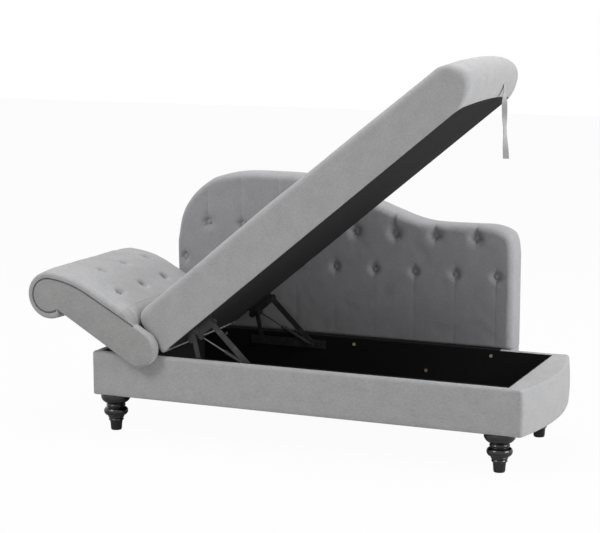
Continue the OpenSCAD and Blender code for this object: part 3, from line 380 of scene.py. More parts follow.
def build_melange_weave():
    """Cloth of mixed light and dark yarns: crossing threads, slubs and slow shade changes."""
    tree, given, out = new_tree(
        "melange_weave", "ShaderNodeTree",
        {"Ground": "Color", "Fleck": "Color", "Fleck Amount": "Float", "Thread": "Float", "Rough": "Float"},
        SURFACE)
    across = stretched_noise(tree, given["Thread"], (0.22, 0.22, 1.0), 2.0)
    upright = stretched_noise(tree, given["Thread"], (1.0, 1.0, 0.2), 2.0)
    slubs = stretched_noise(tree, given["Thread"], (0.19, 0.19, 0.5), 3.0)
    patches = stretched_noise(tree, given["Thread"], (0.03, 0.03, 0.03), 3.0)
    threads = weighted(tree, (across, 0.5), (upright, 0.5))
    yarns = spread_out(tree, weighted(tree, (threads, 0.56), (slubs, 0.26), (patches, 0.18)), 0.36, 0.64)
    amount = math_node(tree, "MULTIPLY", yarns, given["Fleck Amount"])
    feed(tree, out, {
        "Color": mixed_color(tree, amount, given["Ground"], given["Fleck"]),
        "Roughness": math_node(tree, "ADD", given["Rough"], math_node(tree, "MULTIPLY", across, 0.1)),
        "Height": threads})
    return tree


def build_worn_surface():
    """Slow blotches and fine speckle for paint, lacquer and metal."""
    tree, given, out = new_tree(
        "worn_surface", "ShaderNodeTree",
        {"Base": "Color", "Rubbed": "Color", "Grain": "Float", "Rough": "Float", "Rough Spread": "Float"},
        SURFACE)
    blotch = stretched_noise(tree, given["Grain"], (0.1, 0.1, 0.1), 3.0)
    spread = math_node(tree, "MULTIPLY", blotch, given["Rough Spread"])
    feed(tree, out, {
        "Color": mixed_color(tree, spread_out(tree, blotch, 0.55, 0.75), given["Base"], given["Rubbed"]),
        "Roughness": math_node(tree, "ADD", given["Rough"], spread),
        "Height": stretched_noise(tree, given["Grain"], (1.0, 1.0, 1.0), 2.0)})
    return tree


def build_timber_grain():
    """Straight softwood grain along X with darker growth lines."""
    tree, given, out = new_tree(
        "timber_grain", "ShaderNodeTree", {"Light": "Color", "Dark": "Color", "Line": "Float"},
        {"Color": "Color", "Height": "Float"})
    lines = stretched_noise(tree, given["Line"], (0.03, 1.0, 1.0), 4.0)
    feed(tree, out, {
        "Color": mixed_color(tree, spread_out(tree, lines, 0.4, 0.65), given["Light"], given["Dark"]),
        "Height": lines})
    return tree


MELANGE = build_melange_weave()
WORN = build_worn_surface()
GRAIN = build_timber_grain()


def finish_material(name, group, values, constants, bump, bump_size):
    """A Principled shader fed by one node group and one Bump."""
    mat = bpy.data.materials.new(name)
    mat.use_nodes = True
    tree = mat.node_tree
    pattern = tree.nodes.new("ShaderNodeGroup")
    pattern.node_tree = group
    feed(tree, pattern, values)
    relief = add_node(tree, "ShaderNodeBump",
                      {"Strength": bump, "Distance": bump_size, "Height": pattern.outputs["Height"]})
    shader = tree.nodes["Principled BSDF"]
    feed(tree, shader, constants)
    feed(tree, shader, {"Base Color": pattern.outputs["Color"], "Normal": relief})
    if "Roughness" in pattern.outputs:
        feed(tree, shader, {"Roughness": pattern.outputs["Roughness"]})
    return mat


def woven(name, ground, fleck, thread=0.0016, sheen=0.25, bump=0.35, gloss=0.25):
    """Cloth with light ground yarns and dark flecks."""
    return finish_material(
        name, MELANGE,
        {"Ground": (*ground, 1), "Fleck": (*fleck, 1), "Fleck Amount": 0.75, "Thread": thread,
         "Rough": 0.82},
        {"Sheen Weight": sheen, "Sheen Roughness": 0.6, "Specular IOR Level": gloss}, bump, 0.0006)


def worn(name, base, rubbed, rough, metallic=0.0, coat=0.0, grain=0.004, bump=0.1):
    """Paint, lacquer or metal, rubbed in places."""
    return finish_material(
        name, WORN,
        {"Base": (*base, 1), "Rubbed": (*rubbed, 1), "Grain": grain, "Rough": rough, "Rough Spread": 0.15},
        {"Metallic": metallic, "Coat Weight": coat, "Coat Roughness": 0.08}, bump, 0.0002)


CLOTH = woven("grey_melange_cloth", (0.44, 0.44, 0.445), (0.25, 0.25, 0.26))
# Painted shade: the backrest's cloth is a darker, slightly bluish copy of the grey cloth, standing in for
# the shade that falls on the backrest
BACK_CLOTH_PAINTED_SHADE = woven("backrest_melange_cloth", (0.405, 0.402, 0.418), (0.232, 0.23, 0.244))
# Painted shade: the arm's side panels and the cover's border get a darker copy of the grey cloth, standing
# in for the light that falls off on the arm's front
PANEL_CLOTH_PAINTED_SHADE = woven("side_panel_melange_cloth", (0.375, 0.375, 0.37), (0.21, 0.21, 0.212))
# The piping cord is much darker than the cover: partly the cord's own colour, partly painted shade of the
# groove it lies in
PIPING = woven("piping_cloth", (0.12, 0.12, 0.13), (0.06, 0.06, 0.065), thread=0.0008, sheen=0.1)
BUTTON_CLOTH = woven("button_cloth", (0.4, 0.4, 0.42), (0.25, 0.25, 0.26), thread=0.0008)
ARM_BUTTON_CLOTH = woven("arm_button_cloth", (0.42, 0.42, 0.43), (0.26, 0.26, 0.27), thread=0.0008)
LINING = woven("black_lining_cloth", (0.0055, 0.0055, 0.006), (0.0105, 0.0105, 0.0115), thread=0.0012,
               sheen=0.01, bump=0.5, gloss=0.15)
DUST_CLOTH = woven("black_dust_cloth", (0.0165, 0.0165, 0.017), (0.033, 0.033, 0.034), thread=0.0012,
                   sheen=0.01, bump=0.6, gloss=0.06)
STRAP_CLOTH = woven("pull_strap_webbing", (0.46, 0.46, 0.46), (0.3, 0.3, 0.31), thread=0.0014)
THREAD = woven("sewing_thread", (0.3, 0.3, 0.31), (0.2, 0.2, 0.21), thread=0.0004)
TIMBER = finish_material(
    "raw_timber", GRAIN, {"Light": (0.62, 0.45, 0.26, 1), "Dark": (0.42, 0.27, 0.13, 1), "Line": 0.006},
    {"Roughness": 0.7}, 0.2, 0.0004)
STEEL = worn("painted_steel", (0.03, 0.029, 0.028), (0.075, 0.073, 0.07), 0.4, metallic=0.3, coat=0.1)
BRIGHT_STEEL = worn("polished_rod_steel", (0.16, 0.16, 0.165), (0.1, 0.1, 0.1), 0.34, metallic=1.0)
LACQUER = worn("black_gloss_lacquer", (0.004, 0.004, 0.004), (0.011, 0.0105, 0.01), 0.14, coat=0.2,
               grain=0.006, bump=0.25)
BRASS = worn("brass_bolt_metal", (0.85, 0.74, 0.5), (0.6, 0.5, 0.32), 0.3, metallic=1.0)
STAPLE_STEEL = worn("staple_wire_metal", (0.1, 0.1, 0.1), (0.06, 0.06, 0.06), 0.4, metallic=1.0)

SLOT_MATERIALS = {
    "fabric_grey": CLOTH, "fabric_shade": BACK_CLOTH_PAINTED_SHADE, "black_lining": LINING, "timber": TIMBER,
    "dark_steel": STEEL, "black_lacquer": LACQUER, "brass": BRASS, "strap_webbing": STRAP_CLOTH,
    "bright_steel": BRIGHT_STEEL,
}


def paint_nodes():
    """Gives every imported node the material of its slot."""
    for row in frame["record"]["subparts"]:
        mesh = frame["nodes"][row["node"]].data
        mesh.materials.clear()
        mesh.materials.append(SLOT_MATERIALS[row["material_slot"]])


# Geometry trees
def new_geometry_tree(name, *sizes):
    """A geometry group with named sizes and a material."""
    inputs = {"Geometry": "Geometry", **dict.fromkeys(sizes, "Float"), "Material": "Material"}
    return new_tree(name, "GeometryNodeTree", inputs, {"Geometry": "Geometry"})


def geometry_end(tree, given, out, geometry):
    """Makes the instances real, smooth and of the given material."""
    real = add_node(tree, "GeometryNodeRealizeInstances", {"Geometry": geometry})
    soft = add_node(tree, "GeometryNodeSetShadeSmooth", {"Geometry": real})
    done = add_node(tree, "GeometryNodeSetMaterial", {"Geometry": soft, "Material": given["Material"]})
    feed(tree, out, {"Geometry": done})


def set_on_points(tree, points, shape, along):
    """A copy of a shape on every point, its Z axis turned along a direction."""
    turn = add_node(tree, "FunctionNodeAlignRotationToVector", {"Vector": along}, axis="Z")
    return add_node(tree, "GeometryNodeInstanceOnPoints",
                    {"Points": points, "Instance": shape, "Rotation": turn})


def even_path(tree, given, step):
    """The carried edges as a curve with points an even step apart."""
    path = add_node(tree, "GeometryNodeMeshToCurve", {"Mesh": given["Geometry"]})
    return add_node(tree, "GeometryNodeResampleCurve", {"Curve": path, "Length": given[step]},
                    mode="LENGTH")


def build_covered_buttons():
    """A domed covered button on every point, facing along the point's own direction."""
    tree, given, out = new_geometry_tree("covered_buttons", "Button Radius", "Dome Share")
    ball = add_node(tree, "GeometryNodeMeshUVSphere",
                    {"Segments": 28, "Rings": 14, "Radius": given["Button Radius"]}, output="Mesh")
    scale = add_node(tree, "ShaderNodeCombineXYZ", {"X": 1.0, "Y": 1.0, "Z": given["Dome Share"]})
    dome = add_node(tree, "GeometryNodeTransform", {"Geometry": ball, "Scale": scale})
    facing = add_node(tree, "GeometryNodeInputNamedAttribute", {"Name": "facing"}, output="Attribute",
                      data_type="FLOAT_VECTOR")
    points = add_node(tree, "GeometryNodeMeshToPoints", {"Mesh": given["Geometry"]})
    geometry_end(tree, given, out, set_on_points(tree, points, dome, facing))
    return tree


def build_round_cord():
    """A round cord along the edges of a path."""
    tree, given, out = new_geometry_tree("round_cord", "Cord Radius", "Step")
    ring = add_node(tree, "GeometryNodeCurvePrimitiveCircle",
                    {"Resolution": 10, "Radius": given["Cord Radius"]})
    swept = add_node(tree, "GeometryNodeCurveToMesh",
                     {"Curve": even_path(tree, given, "Step"), "Profile Curve": ring, "Fill Caps": True})
    geometry_end(tree, given, out, swept)
    return tree


def build_stitch_run():
    """Stitches or staples at an even pitch along the edges of a path, in line with it."""
    tree, given, out = new_geometry_tree("stitch_run", "Pitch", "Stitch Length", "Stitch Width")
    bead = add_node(tree, "GeometryNodeMeshIcoSphere", {"Radius": 0.5, "Subdivisions": 2}, output="Mesh")
    size = add_node(tree, "ShaderNodeCombineXYZ",
                    {"X": given["Stitch Width"], "Y": given["Stitch Width"], "Z": given["Stitch Length"]})
    stitch = add_node(tree, "GeometryNodeTransform", {"Geometry": bead, "Scale": size})
    tangent = add_node(tree, "GeometryNodeInputTangent", {})
    geometry_end(tree, given, out, set_on_points(tree, even_path(tree, given, "Pitch"), stitch, tangent))
    return tree


BUTTONS = build_covered_buttons()
CORD = build_round_cord()
STITCHES = build_stitch_run()


def grown(name, points, edges, tree, sizes, material, body, facing=None):
    """Runs a geometry tree on a path or on loose points, and keeps the result as a plain mesh."""
    seed = bpy.data.meshes.new(name + "_path")
    seed.from_pydata([at(*p) for p in points], edges, [])
    if facing:
        attribute = seed.attributes.new("facing", "FLOAT_VECTOR", "POINT")
        for i, v in enumerate(facing):
            attribute.data[i].vector = v
    carrier = link(name + "_path", seed)
    modifier = carrier.modifiers.new("grow", "NODES")
    modifier.node_group = tree
    labels = {s.name: s.identifier for s in tree.interface.items_tree if s.in_out == "INPUT"}
    for label, value in {**sizes, "Material": material}.items():
        modifier[labels[label]] = value
    bpy.context.view_layer.update()
    evaluated = carrier.evaluated_get(bpy.context.evaluated_depsgraph_get())
    mesh = bpy.data.meshes.new_from_object(evaluated)
    bpy.data.objects.remove(carrier)
    return mounted(name, mesh, body)


def set_buttons(name, points, facing, radius, dome, material, body):
    """Covered buttons at points, each with the direction that it faces."""
    return grown(name, points, [], BUTTONS, {"Button Radius": radius * MM, "Dome Share": dome}, material,
                 body, facing)


def closed_path(points):
    return [(i, (i + 1) % len(points)) for i in range(len(points))]


def open_path(points):
    return [(i, i + 1) for i in range(len(points) - 1)]


# Base
COVER_STEPS = 12
RIM_STEPS = 6
# Rings of the cover outside: how far it is drawn in, and its height over the base's foot or its rims
TURNED_UNDER = ((24.0, 0.5), (6.0, -0.5), (1.5, 1.2), (0.0, HEM))
OVER_THE_RIM = ((14.0, -0.2), (20.0, -0.8))
# Rings of the cover's lip: how far short of the box's inside, and its height over the rims
LIP = ((6.0, -0.6), (2.5, -0.6), (0.5, -1.8), (0.3, -8.0))
BASE_WAVES = ((0.8, 130, 0), (0.35, 45, 0))
# Half of the run over which the long walls' waves pass into the foot end's
END_RUN = 30.0


def base_outline():
    return bow_outline(BASE_L, 0, BASE_D, BASE_BOW, BASE_HEAD_R, BASE_FOOT_R, 0, 0, side_n=90)


def base_ring(inset, z, swell):
    """Outline of the base drawn in towards the box, its walls a little wavy and its end swollen."""
    points = []
    for x, y in base_outline():
        inward = (min(max(x, WALL), BOX_FOOT) - x, min(max(y, WALL), BASE_D - WALL) - y)
        share = min(1.0, inset / math.hypot(*inward))
        end = smooth((x - BASE_L + END_RUN) / (2 * END_RUN))
        wave = ripples(x, y, z, BASE_WAVES) if inset < 4 else 0
        points.append((x + inward[0] * share + (swell + wave) * end,
                       y + inward[1] * share + (wave if y < BASE_D / 2 else -wave) * (1 - end), z))
    return points


def base_lip(gap, z):
    """The cover's edge where it turns down into the box."""
    return [(min(max(x, WALL - gap), BOX_FOOT + gap), min(max(y, WALL - gap), BASE_D - WALL + gap), z)
            for x, y in base_outline()]


def build_base_cover():
    """Padded cloth round the base: up the walls, over the rims and into the box."""
    rings = [base_ring(inset, FOOT_H + up, 0) for inset, up in TURNED_UNDER]
    for i in range(1, COVER_STEPS + 1):
        share = i / COVER_STEPS
        z = FOOT_H + HEM + (RIM - RIM_R - FOOT_H - HEM) * share
        rings.append(base_ring(0, z, BASE_SWELL * math.sin(math.pi * share)))
    for i in range(1, RIM_STEPS + 1):
        a = 90 * i / RIM_STEPS
        rings.append(base_ring(RIM_R * (1 - cosd(a)), RIM - RIM_R + RIM_R * sind(a), 0))
    rings += [base_ring(inset, RIM + up, 0) for inset, up in OVER_THE_RIM]
    rings += [base_lip(gap, RIM + up) for gap, up in LIP]
    size = len(rings[0])
    faces = ring_faces(len(rings), size)
    # The cloth turns back behind itself, so that the cover is a closed skin
    last = (len(rings) - 1) * size
    faces += [(last + k, last + (k + 1) % size, (k + 1) % size, k) for k in range(size)]
    cover = piece("base_cover", sum(rings, []), faces, CLOTH, "base")
    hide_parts("front_cover", "rear_cover", "head_cover", "foot_cover")


FOOT_PLACES = {f"foot_{side}_{end}": (x, y)
               for side, y in (("front", FOOT_IN), ("rear", BASE_D - FOOT_IN))
               for end, x in (("left", FOOT_LEFT), ("right", FOOT_RIGHT))}
# Radius and height of the turning, as shares of the foot's
FOOT_SHARES = [
    (0.34, 0.0), (0.37, 0.03), (0.38, 0.07), (0.385, 0.115), (0.405, 0.19), (0.43, 0.24), (0.49, 0.262),
    (0.51, 0.285), (0.49, 0.306), (0.472, 0.318), (0.5, 0.332), (0.545, 0.35), (0.55, 0.37), (0.535, 0.385),
    (0.6, 0.398), (0.7, 0.42), (0.775, 0.455), (0.815, 0.506), (0.795, 0.556), (0.73, 0.592), (0.65, 0.615),
    (0.6, 0.628), (0.605, 0.642), (0.64, 0.66), (0.645, 0.68), (0.615, 0.7), (0.61, 0.716), (0.66, 0.735),
    (0.78, 0.765), (0.88, 0.8), (0.95, 0.84), (0.99, 0.88), (1.0, 0.92), (0.985, 0.96), (0.94, 1.0)]
FOOT_SIDES = 56


def turned_profile():
    """The foot's shares joined by a smooth curve."""
    rows = [FOOT_SHARES[0]] + FOOT_SHARES + [FOOT_SHARES[-1]]
    profile = []
    for p0, p1, p2, p3 in zip(rows, rows[1:], rows[2:], rows[3:]):
        for t in (0.0, 0.33, 0.67):
            profile.append(tuple(
                0.5 * (2 * b + (c - a) * t + (2 * a - 5 * b + 4 * c - d) * t * t
                       + (3 * b - a - 3 * c + d) * t ** 3) for a, b, c, d in zip(p0, p1, p2, p3)))
    return profile + [FOOT_SHARES[-1]]


def build_feet():
    """Turned feet with rings, beads and a broad top disc."""
    profile = turned_profile()
    for name, (fx, fy) in FOOT_PLACES.items():
        points = []
        for r, h in profile:
            for k in range(FOOT_SIDES):
                a = 2 * math.pi * k / FOOT_SIDES
                points.append((fx + r * FOOT_R * math.cos(a), fy + r * FOOT_R * math.sin(a), h * FOOT_H))
        low = len(points)
        top = low - FOOT_SIDES
        points += [(fx, fy, 0.0), (fx, fy, FOOT_H)]
        edges = closed_path(range(FOOT_SIDES))
        faces = ring_faces(len(profile), FOOT_SIDES) + [(low, b, a) for a, b in edges]
        faces += [(low + 1, top + a, top + b) for a, b in edges]
        foot = piece(name + "_turned", points, faces, LACQUER, "base", sharp=50)
        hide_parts(name)


# Seat
# Rings at the seat's underside: how far it is drawn in, and its height
SEAT_LOW_RINGS = [(2.0, 0.0), (0.6, 1.5)] + [(0.0, z) for z in (5.0, 8.0, 12.0, 16.0, 20.0, 26.0)]
SEAT_WALL_STEPS = 10
SEAT_EDGE_ANGLES = (8, 18, 28, 38, 48, 58, 68, 78, 90)
CROWN_SHARES = (0.05, 0.12, 0.22, 0.34, 0.47, 0.6, 0.73, 0.86, 1.0)
SEAT_SIDE_WAVES = ((1.1, 160, 0), (0.5, 60, 0))
SEAT_TOP_WAVES = ((1.6, 190, 0),)
# Waves grow from none at a board's edge to their full height over this run
WAVE_RUN = 40.0


def lid_outline(out, r_foot, inset, head):
    return bow_outline(LID_L + out, LID_Y0, LID_Y1, LID_BOW, LID_HEAD_R, r_foot, inset, head)


def lid_height(a, z):
    """The seat thins a little from its flat head part to its foot end."""
    return z * (1 - max(0.0, a - LID_FLAT) / (LID_L - LID_FLAT) * LID_TAPER / LID_T)


def lid_end_out(z):
    """How far the seat's foot end stands out at a height."""
    share = min(1.0, z / LID_T)
    return LID_LEAN * share + LID_PUFF * math.sin(math.pi * share ** 0.75) - edge_sink(LID_T - z, LID_END_R)


def lid_head_back(z):
    """How far the seat's head end stands back at a height."""
    return edge_sink(z, LID_LOW_R) if z < LID_LOW_R else edge_sink(LID_T - z, LID_END_R)


def seat_rings():
    """Rings of the seat from its underside to its crown: inset, height, head end and foot end."""
    rise = LID_T - LID_SIDE_R - SEAT_LOW_RINGS[-1][1]
    levels = SEAT_LOW_RINGS + [(0.0, SEAT_LOW_RINGS[-1][1] + rise * i / SEAT_WALL_STEPS)
                               for i in range(1, SEAT_WALL_STEPS + 1)]
    levels += [(LID_SIDE_R * (1 - cosd(a)), LID_T - LID_SIDE_R * (1 - sind(a))) for a in SEAT_EDGE_ANGLES]
    rings = [(inset, z, lid_head_back(z), lid_end_out(z)) for inset, z in levels]
    for s in CROWN_SHARES:
        further = (LID_CROWN_RUN - LID_SIDE_R) * s
        rings.append((LID_SIDE_R + further, LID_T + LID_CROWN * math.sin(s * math.pi / 2),
                      LID_END_R + further, LID_LEAN - LID_END_R - further))
    return rings


def build_seat_cushion():
    """The seat's upholstery: a foam block with a swollen bowed end and a soft top edge."""
    rings = seat_rings()
    points = []
    for inset, z, head, out in rings:
        outline = lid_outline(out + inset, LID_FOOT_R, inset, head)
        for a, y in outline:
            n = lid_height(a, z)
            side = ripples(a, y, n, SEAT_SIDE_WAVES) * min(1.0, z / WAVE_RUN)
            if z >= LID_T - 1:
                n += ripples(a, y, 0, SEAT_TOP_WAVES)
            points.append(lid_point(a, y - side if y < (LID_Y0 + LID_Y1) / 2 else y + side, n))
    size = len(outline)
    faces = ring_faces(len(rings), size)
    faces += folded_cap((len(rings) - 1) * size, size) + turned(folded_cap(0, size))
    seat = piece("seat_cushion", points, faces, CLOTH, "lid")
    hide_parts("lid_cushion")


# Rings of the dust sheet: how far in from the seat's edge, and its height off the underside
DUST_RINGS = ([(3.0, 0.2), (4.5, -0.9), (8.0, -0.9)]
              + [(inset, -0.7) for inset in (16.0, 30.0, 60.0, 100.0, 140.0, 180.0, 215.0, 240.0)])
DUST_WAVES = ((0.5, 45, 0),)
STAPLE_OFF = -1.3


def build_dust_sheet():
    """Black cloth stretched under the seat, its edge turned in under a row of staples."""
    points = []
    for inset, off in DUST_RINGS:
        outline = lid_outline(0, DUST_FOOT_R, inset, DUST_HEAD_GAP + inset)
        points += [lid_point(a, y, off - abs(ripples(a, y, 0, DUST_WAVES)) * smooth(inset / WAVE_RUN))
                   for a, y in outline]
    size = len(outline)
    faces = ring_faces(len(DUST_RINGS), size) + folded_cap((len(DUST_RINGS) - 1) * size, size)
    sheet = piece("seat_dust_sheet", points, turned(faces), DUST_CLOTH, "lid")
    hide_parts("lid_dust_cover")
    run = [lid_point(a, y, STAPLE_OFF)
           for a, y in lid_outline(0, DUST_FOOT_R, STAPLE_IN, DUST_HEAD_GAP + STAPLE_IN)]
    grown("seat_staples", run, closed_path(run), STITCHES,
          {"Pitch": 0.035, "Stitch Length": 0.01, "Stitch Width": 0.0012}, STAPLE_STEEL,
          "lid")


# Turns of the strap on its way down: degrees, and the shares of its length where each starts and runs
STRAP_FIRST_TURN = 90
STRAP_TURN_SHARES = ((-67, 0.06, 0.25), (45, 0.35, 0.25), (-45, 0.65, 0.3))
STRAP_LEAN = 9.0
STRAP_WAIST_SHARE = 0.12
STRAP_OFF = 1.3
STRAP_STEPS = 60


def strap_top():
    """Where the strap leaves the seat's end, low on its roll."""
    y = LID_Y0 + (LID_Y1 - LID_Y0) * STRAP_PLACE_SHARE
    r = ((LID_Y1 - LID_Y0) ** 2 / 4 + LID_BOW ** 2) / (2 * LID_BOW)
    off = y - STRAP_W / 2 - (LID_Y0 + LID_Y1) / 2
    along = LID_L + LID_BOW - r + math.sqrt(r * r - off * off) + lid_end_out(STRAP_UP)
    return lid_point(along, y, lid_height(along, STRAP_UP))


def build_pull_strap():
    """Flat webbing sewn to the seat's end: it hangs and turns to and fro on its way down."""
    x, y, top = strap_top()
    rings = []
    for i in range(STRAP_STEPS + 1):
        t = i / STRAP_STEPS
        turn = STRAP_FIRST_TURN + sum(angle * ramp(t, *where) for angle, *where in STRAP_TURN_SHARES)
        c, k = cosd(turn), sind(turn)
        wide = STRAP_W / 2 * (1 - STRAP_WAIST_SHARE * math.sin(math.pi * t))
        thick = STRAP_T / 2
        rings.append([(x + STRAP_OFF + STRAP_LEAN * t * t + u * c + v * k, y + u * k * 0.9 - v * c,
                       top - 0.3 - STRAP_L * t)
                      for u, v in ((-wide, -thick), (wide, -thick), (wide, thick), (-wide, thick))])
    strap = loft("pull_strap_webbing", rings, STRAP_CLOTH, "strap", 40, flip=True)
    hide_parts("pull_strap")


# Arm
LEAD_R = (((SCROLL[0] - ARM_STRAIGHT) ** 2 + (ARM_HALF - SCROLL[1]) ** 2 - SCROLL_R ** 2)
          / (2 * (ARM_HALF - SCROLL[1] - SCROLL_R)))
LEAD_C = (ARM_STRAIGHT, ARM_HALF - LEAD_R)
LEAD_END = math.degrees(math.atan2(SCROLL[1] - LEAD_C[1], SCROLL[0] - LEAD_C[0]))
SCROLL_END = -180 + math.degrees(math.asin((SCROLL[1] - PANEL_STEP[1]) / SCROLL_R))
LEAD_LEN = LEAD_R * math.radians(90 - LEAD_END)
SCROLL_LEN = SCROLL_R * math.radians(LEAD_END - SCROLL_END)
OUTLINE_LEN = ARM_STRAIGHT + LEAD_LEN + SCROLL_LEN
# Steps over the quarter round of the cushion's side edges
EDGE_STEPS = [ARM_EDGE_R * (1 - cosd(a)) for a in range(0, 91, 18)]
ROLL_TUFTS = [(ARM_ROW_B, ARM_TUFT_Y + (i + 0.5) * ARM_TUFT_PITCH) for i in range(3)]
ARM_TUFTS = [(ARM_ROW_A, ARM_TUFT_Y + i * ARM_TUFT_PITCH) for i in range(3)] + ROLL_TUFTS
# Where a pleat over the roll starts past its button, where it fades out before the roll's end, and over
# what runs
ARM_PLEAT_IN = (12, 40)
ARM_PLEAT_OUT = (-120, 100)
ARM_WAVES = ((1.1, 70, 0), (1.3, 180, 5), (0.4, 24, 9))
ARM_ROWS = 130
ARM_COLUMNS = 150
# The cover's underside lies just off the boards
SKIN_BASE = 0.5
SKIN_LEAST = 0.4


def arm_outline(t):
    """Point and outward angle on the panel's upper outline, by distance from the pivot."""
    if t <= ARM_STRAIGHT:
        return t, ARM_HALF, 90.0
    if t <= ARM_STRAIGHT + LEAD_LEN:
        a = 90 - math.degrees((t - ARM_STRAIGHT) / LEAD_R)
        (cx, cy), r = LEAD_C, LEAD_R
    else:
        a = LEAD_END - math.degrees((t - ARM_STRAIGHT - LEAD_LEN) / SCROLL_R)
        (cx, cy), r = SCROLL, SCROLL_R
    return cx + r * cosd(a), cy + r * sind(a), a


def arm_at(t, h):
    """Place in the arm's own frame at a height over the outline."""
    s, n, a = arm_outline(t)
    return s + h * cosd(a), n + h * sind(a)


def skin_point(t, y, h):
    """A point over the arm's outline: distance from the pivot, place across and height."""
    s, n = arm_at(t, h)
    return arm_point(s, y, n)


def dimple(dx, dy, reach, folds, phase, sharp):
    """Depth share of a tuft with short folds that run out from it, 1 at its middle."""
    r = math.hypot(dx, dy)
    if r > reach * 3:
        return 0.0
    bowl = 0.6 * math.exp(-(max(0.0, r - 8) / (reach * 0.4)) ** 1.2) + 0.4 * math.exp(-(r / reach) ** 2)
    crease = max(0.0, math.cos(folds * math.atan2(dy, dx) + phase)) ** 4
    return bowl + sharp * crease * math.exp(-((r - reach * 0.5) / (reach * 0.38)) ** 2)


def pleat(side, near, far):
    """Cross-section of a folded pleat, 1 at its crest and steeper on one side."""
    return math.exp(side / near) if side <= 0 else math.exp(-side / far)


def arm_height(t, y):
    """Thickness of the arm's cushion over the panel outline."""
    mid = (ARM_FRONT + ARM_REAR) / 2
    u = abs(y - mid) / (mid - ARM_FRONT)
    full = smooth((ARM_STRAIGHT + ARM_BULGE_RUN - t) / ARM_BULGE_RUN)
    h = ARM_PAD + (ARM_CROWN + ARM_BULGE * full) * (1 - u ** 5)
    for k, (tt, ty) in enumerate(ARM_TUFTS):
        depth = ARM_TUFT_DEPTH + ARM_TUFT_MORE * full
        h -= depth * dimple(t - tt, y - ty, ARM_TUFT_REACH, 4 + k % 3, 1.3 * k, ARM_CREASE_SHARE)
    for tt, ty in ROLL_TUFTS:
        if t > tt:
            # A pleat from each outer button over the roll
            run = ramp(t - tt, *ARM_PLEAT_IN) * (1 - ramp(t - OUTLINE_LEN, *ARM_PLEAT_OUT))
            h -= ARM_PLEAT * run * pleat(y - ty, *ARM_PLEAT_SIDES)
    return h + ripples(t, y, 0, ARM_WAVES)


def arm_skin(t, y):
    """The cushion's thickness with its rounded edges along both side panels."""
    return arm_height(t, y) - edge_sink(min(y - ARM_FRONT, ARM_REAR - y), ARM_EDGE_R)


def toe_along(share):
    """Place along the arm at a share of the toe's length."""
    return TOE_START + (TOE_END - TOE_START) * share


def toe_height(share, y):
    """Height over the arm's centre line where the cushion's end falls towards the seat."""
    return ARM_HALF - TOE_DROP + (TOE_DROP + arm_skin(TOE_END, y)) * math.sin(math.pi / 2 * share ** 0.55)


def build_arm_cushion():
    """The arm's tufted cover, rolled over the scroll and drawn in along the piping of both side panels."""
    inner = ARM_REAR - ARM_FRONT - 2 * ARM_EDGE_R
    ys = [ARM_FRONT + d for d in EDGE_STEPS]
    ys += [ARM_FRONT + ARM_EDGE_R + inner * i / ARM_COLUMNS for i in range(1, ARM_COLUMNS)]
    ys += [ARM_REAR - d for d in reversed(EDGE_STEPS)]
    rings = []
    for i in range(ARM_ROWS + 1):
        t = ARM_START + (OUTLINE_LEN - ARM_START) * i / ARM_ROWS
        end = edge_sink(OUTLINE_LEN - t, ARM_END_R)
        rings.append([skin_point(t, ARM_FRONT + 1, SKIN_BASE)]
                     + [skin_point(t, y, arm_skin(t, y) - end) for y in ys]
                     + [skin_point(t, ARM_REAR - 1, SKIN_BASE)])
    cushion = loft("arm_tufted_cover", rings, CLOTH, "arm", 70, flip=True)
    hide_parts("arm_cushion")


def build_arm_buttons():
    """Covered buttons in the arm's tufts, each facing straight out of the cushion."""
    points, facing = [], []
    for t, y in ARM_TUFTS:
        points.append(skin_point(t, y, arm_height(t, y) + BUTTON_LIFT))
        out = ARM_ANGLE + arm_outline(t)[2]
        facing.append((-cosd(out), 0.0, sind(out)))
    buttons = set_buttons("arm_covered_buttons", points, facing, ARM_BUTTON_R, 0.5, ARM_BUTTON_CLOTH,
                          "arm")
    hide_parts("arm_buttons")


TOE_COLUMNS = 110
TOE_ROWS = 14
TOE_Y0 = ARM_FRONT + 40
TOE_Y1 = LID_Y1 - 2
# The toe's hidden underside: along the arm and out of its centre line
TOE_UNDER = ((TOE_END, 34.0), (88.0, 30.0), (62.0, 25.0))


def build_arm_toe():
    """The end of the arm's cushion that creases against the seat; it is kept on no body, where it lies."""
    rings = []
    for j in range(TOE_COLUMNS + 1):
        y = TOE_Y0 + (TOE_Y1 - TOE_Y0) * j / TOE_COLUMNS
        ring = []
        for i in range(TOE_ROWS + 1):
            share = i / TOE_ROWS
            height = toe_height(share, y) - edge_sink(TOE_Y1 - y, TOE_EDGE_R) - TOE_TUCK * share
            ring.append(arm_point(toe_along(share), y, height))
        rings.append(ring + [arm_point(s, y, n) for s, n in TOE_UNDER])
    toe = loft("arm_cushion_toe", rings, CLOTH, "arm", 70)
    toe.parent = None
    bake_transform(toe)
    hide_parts("arm_toe_cushion")


BORDER_ROWS = 24
BORDER_COLUMNS = [-24, -16, -9, BORDER_Y]
BORDER_START_SHARE = 0.17


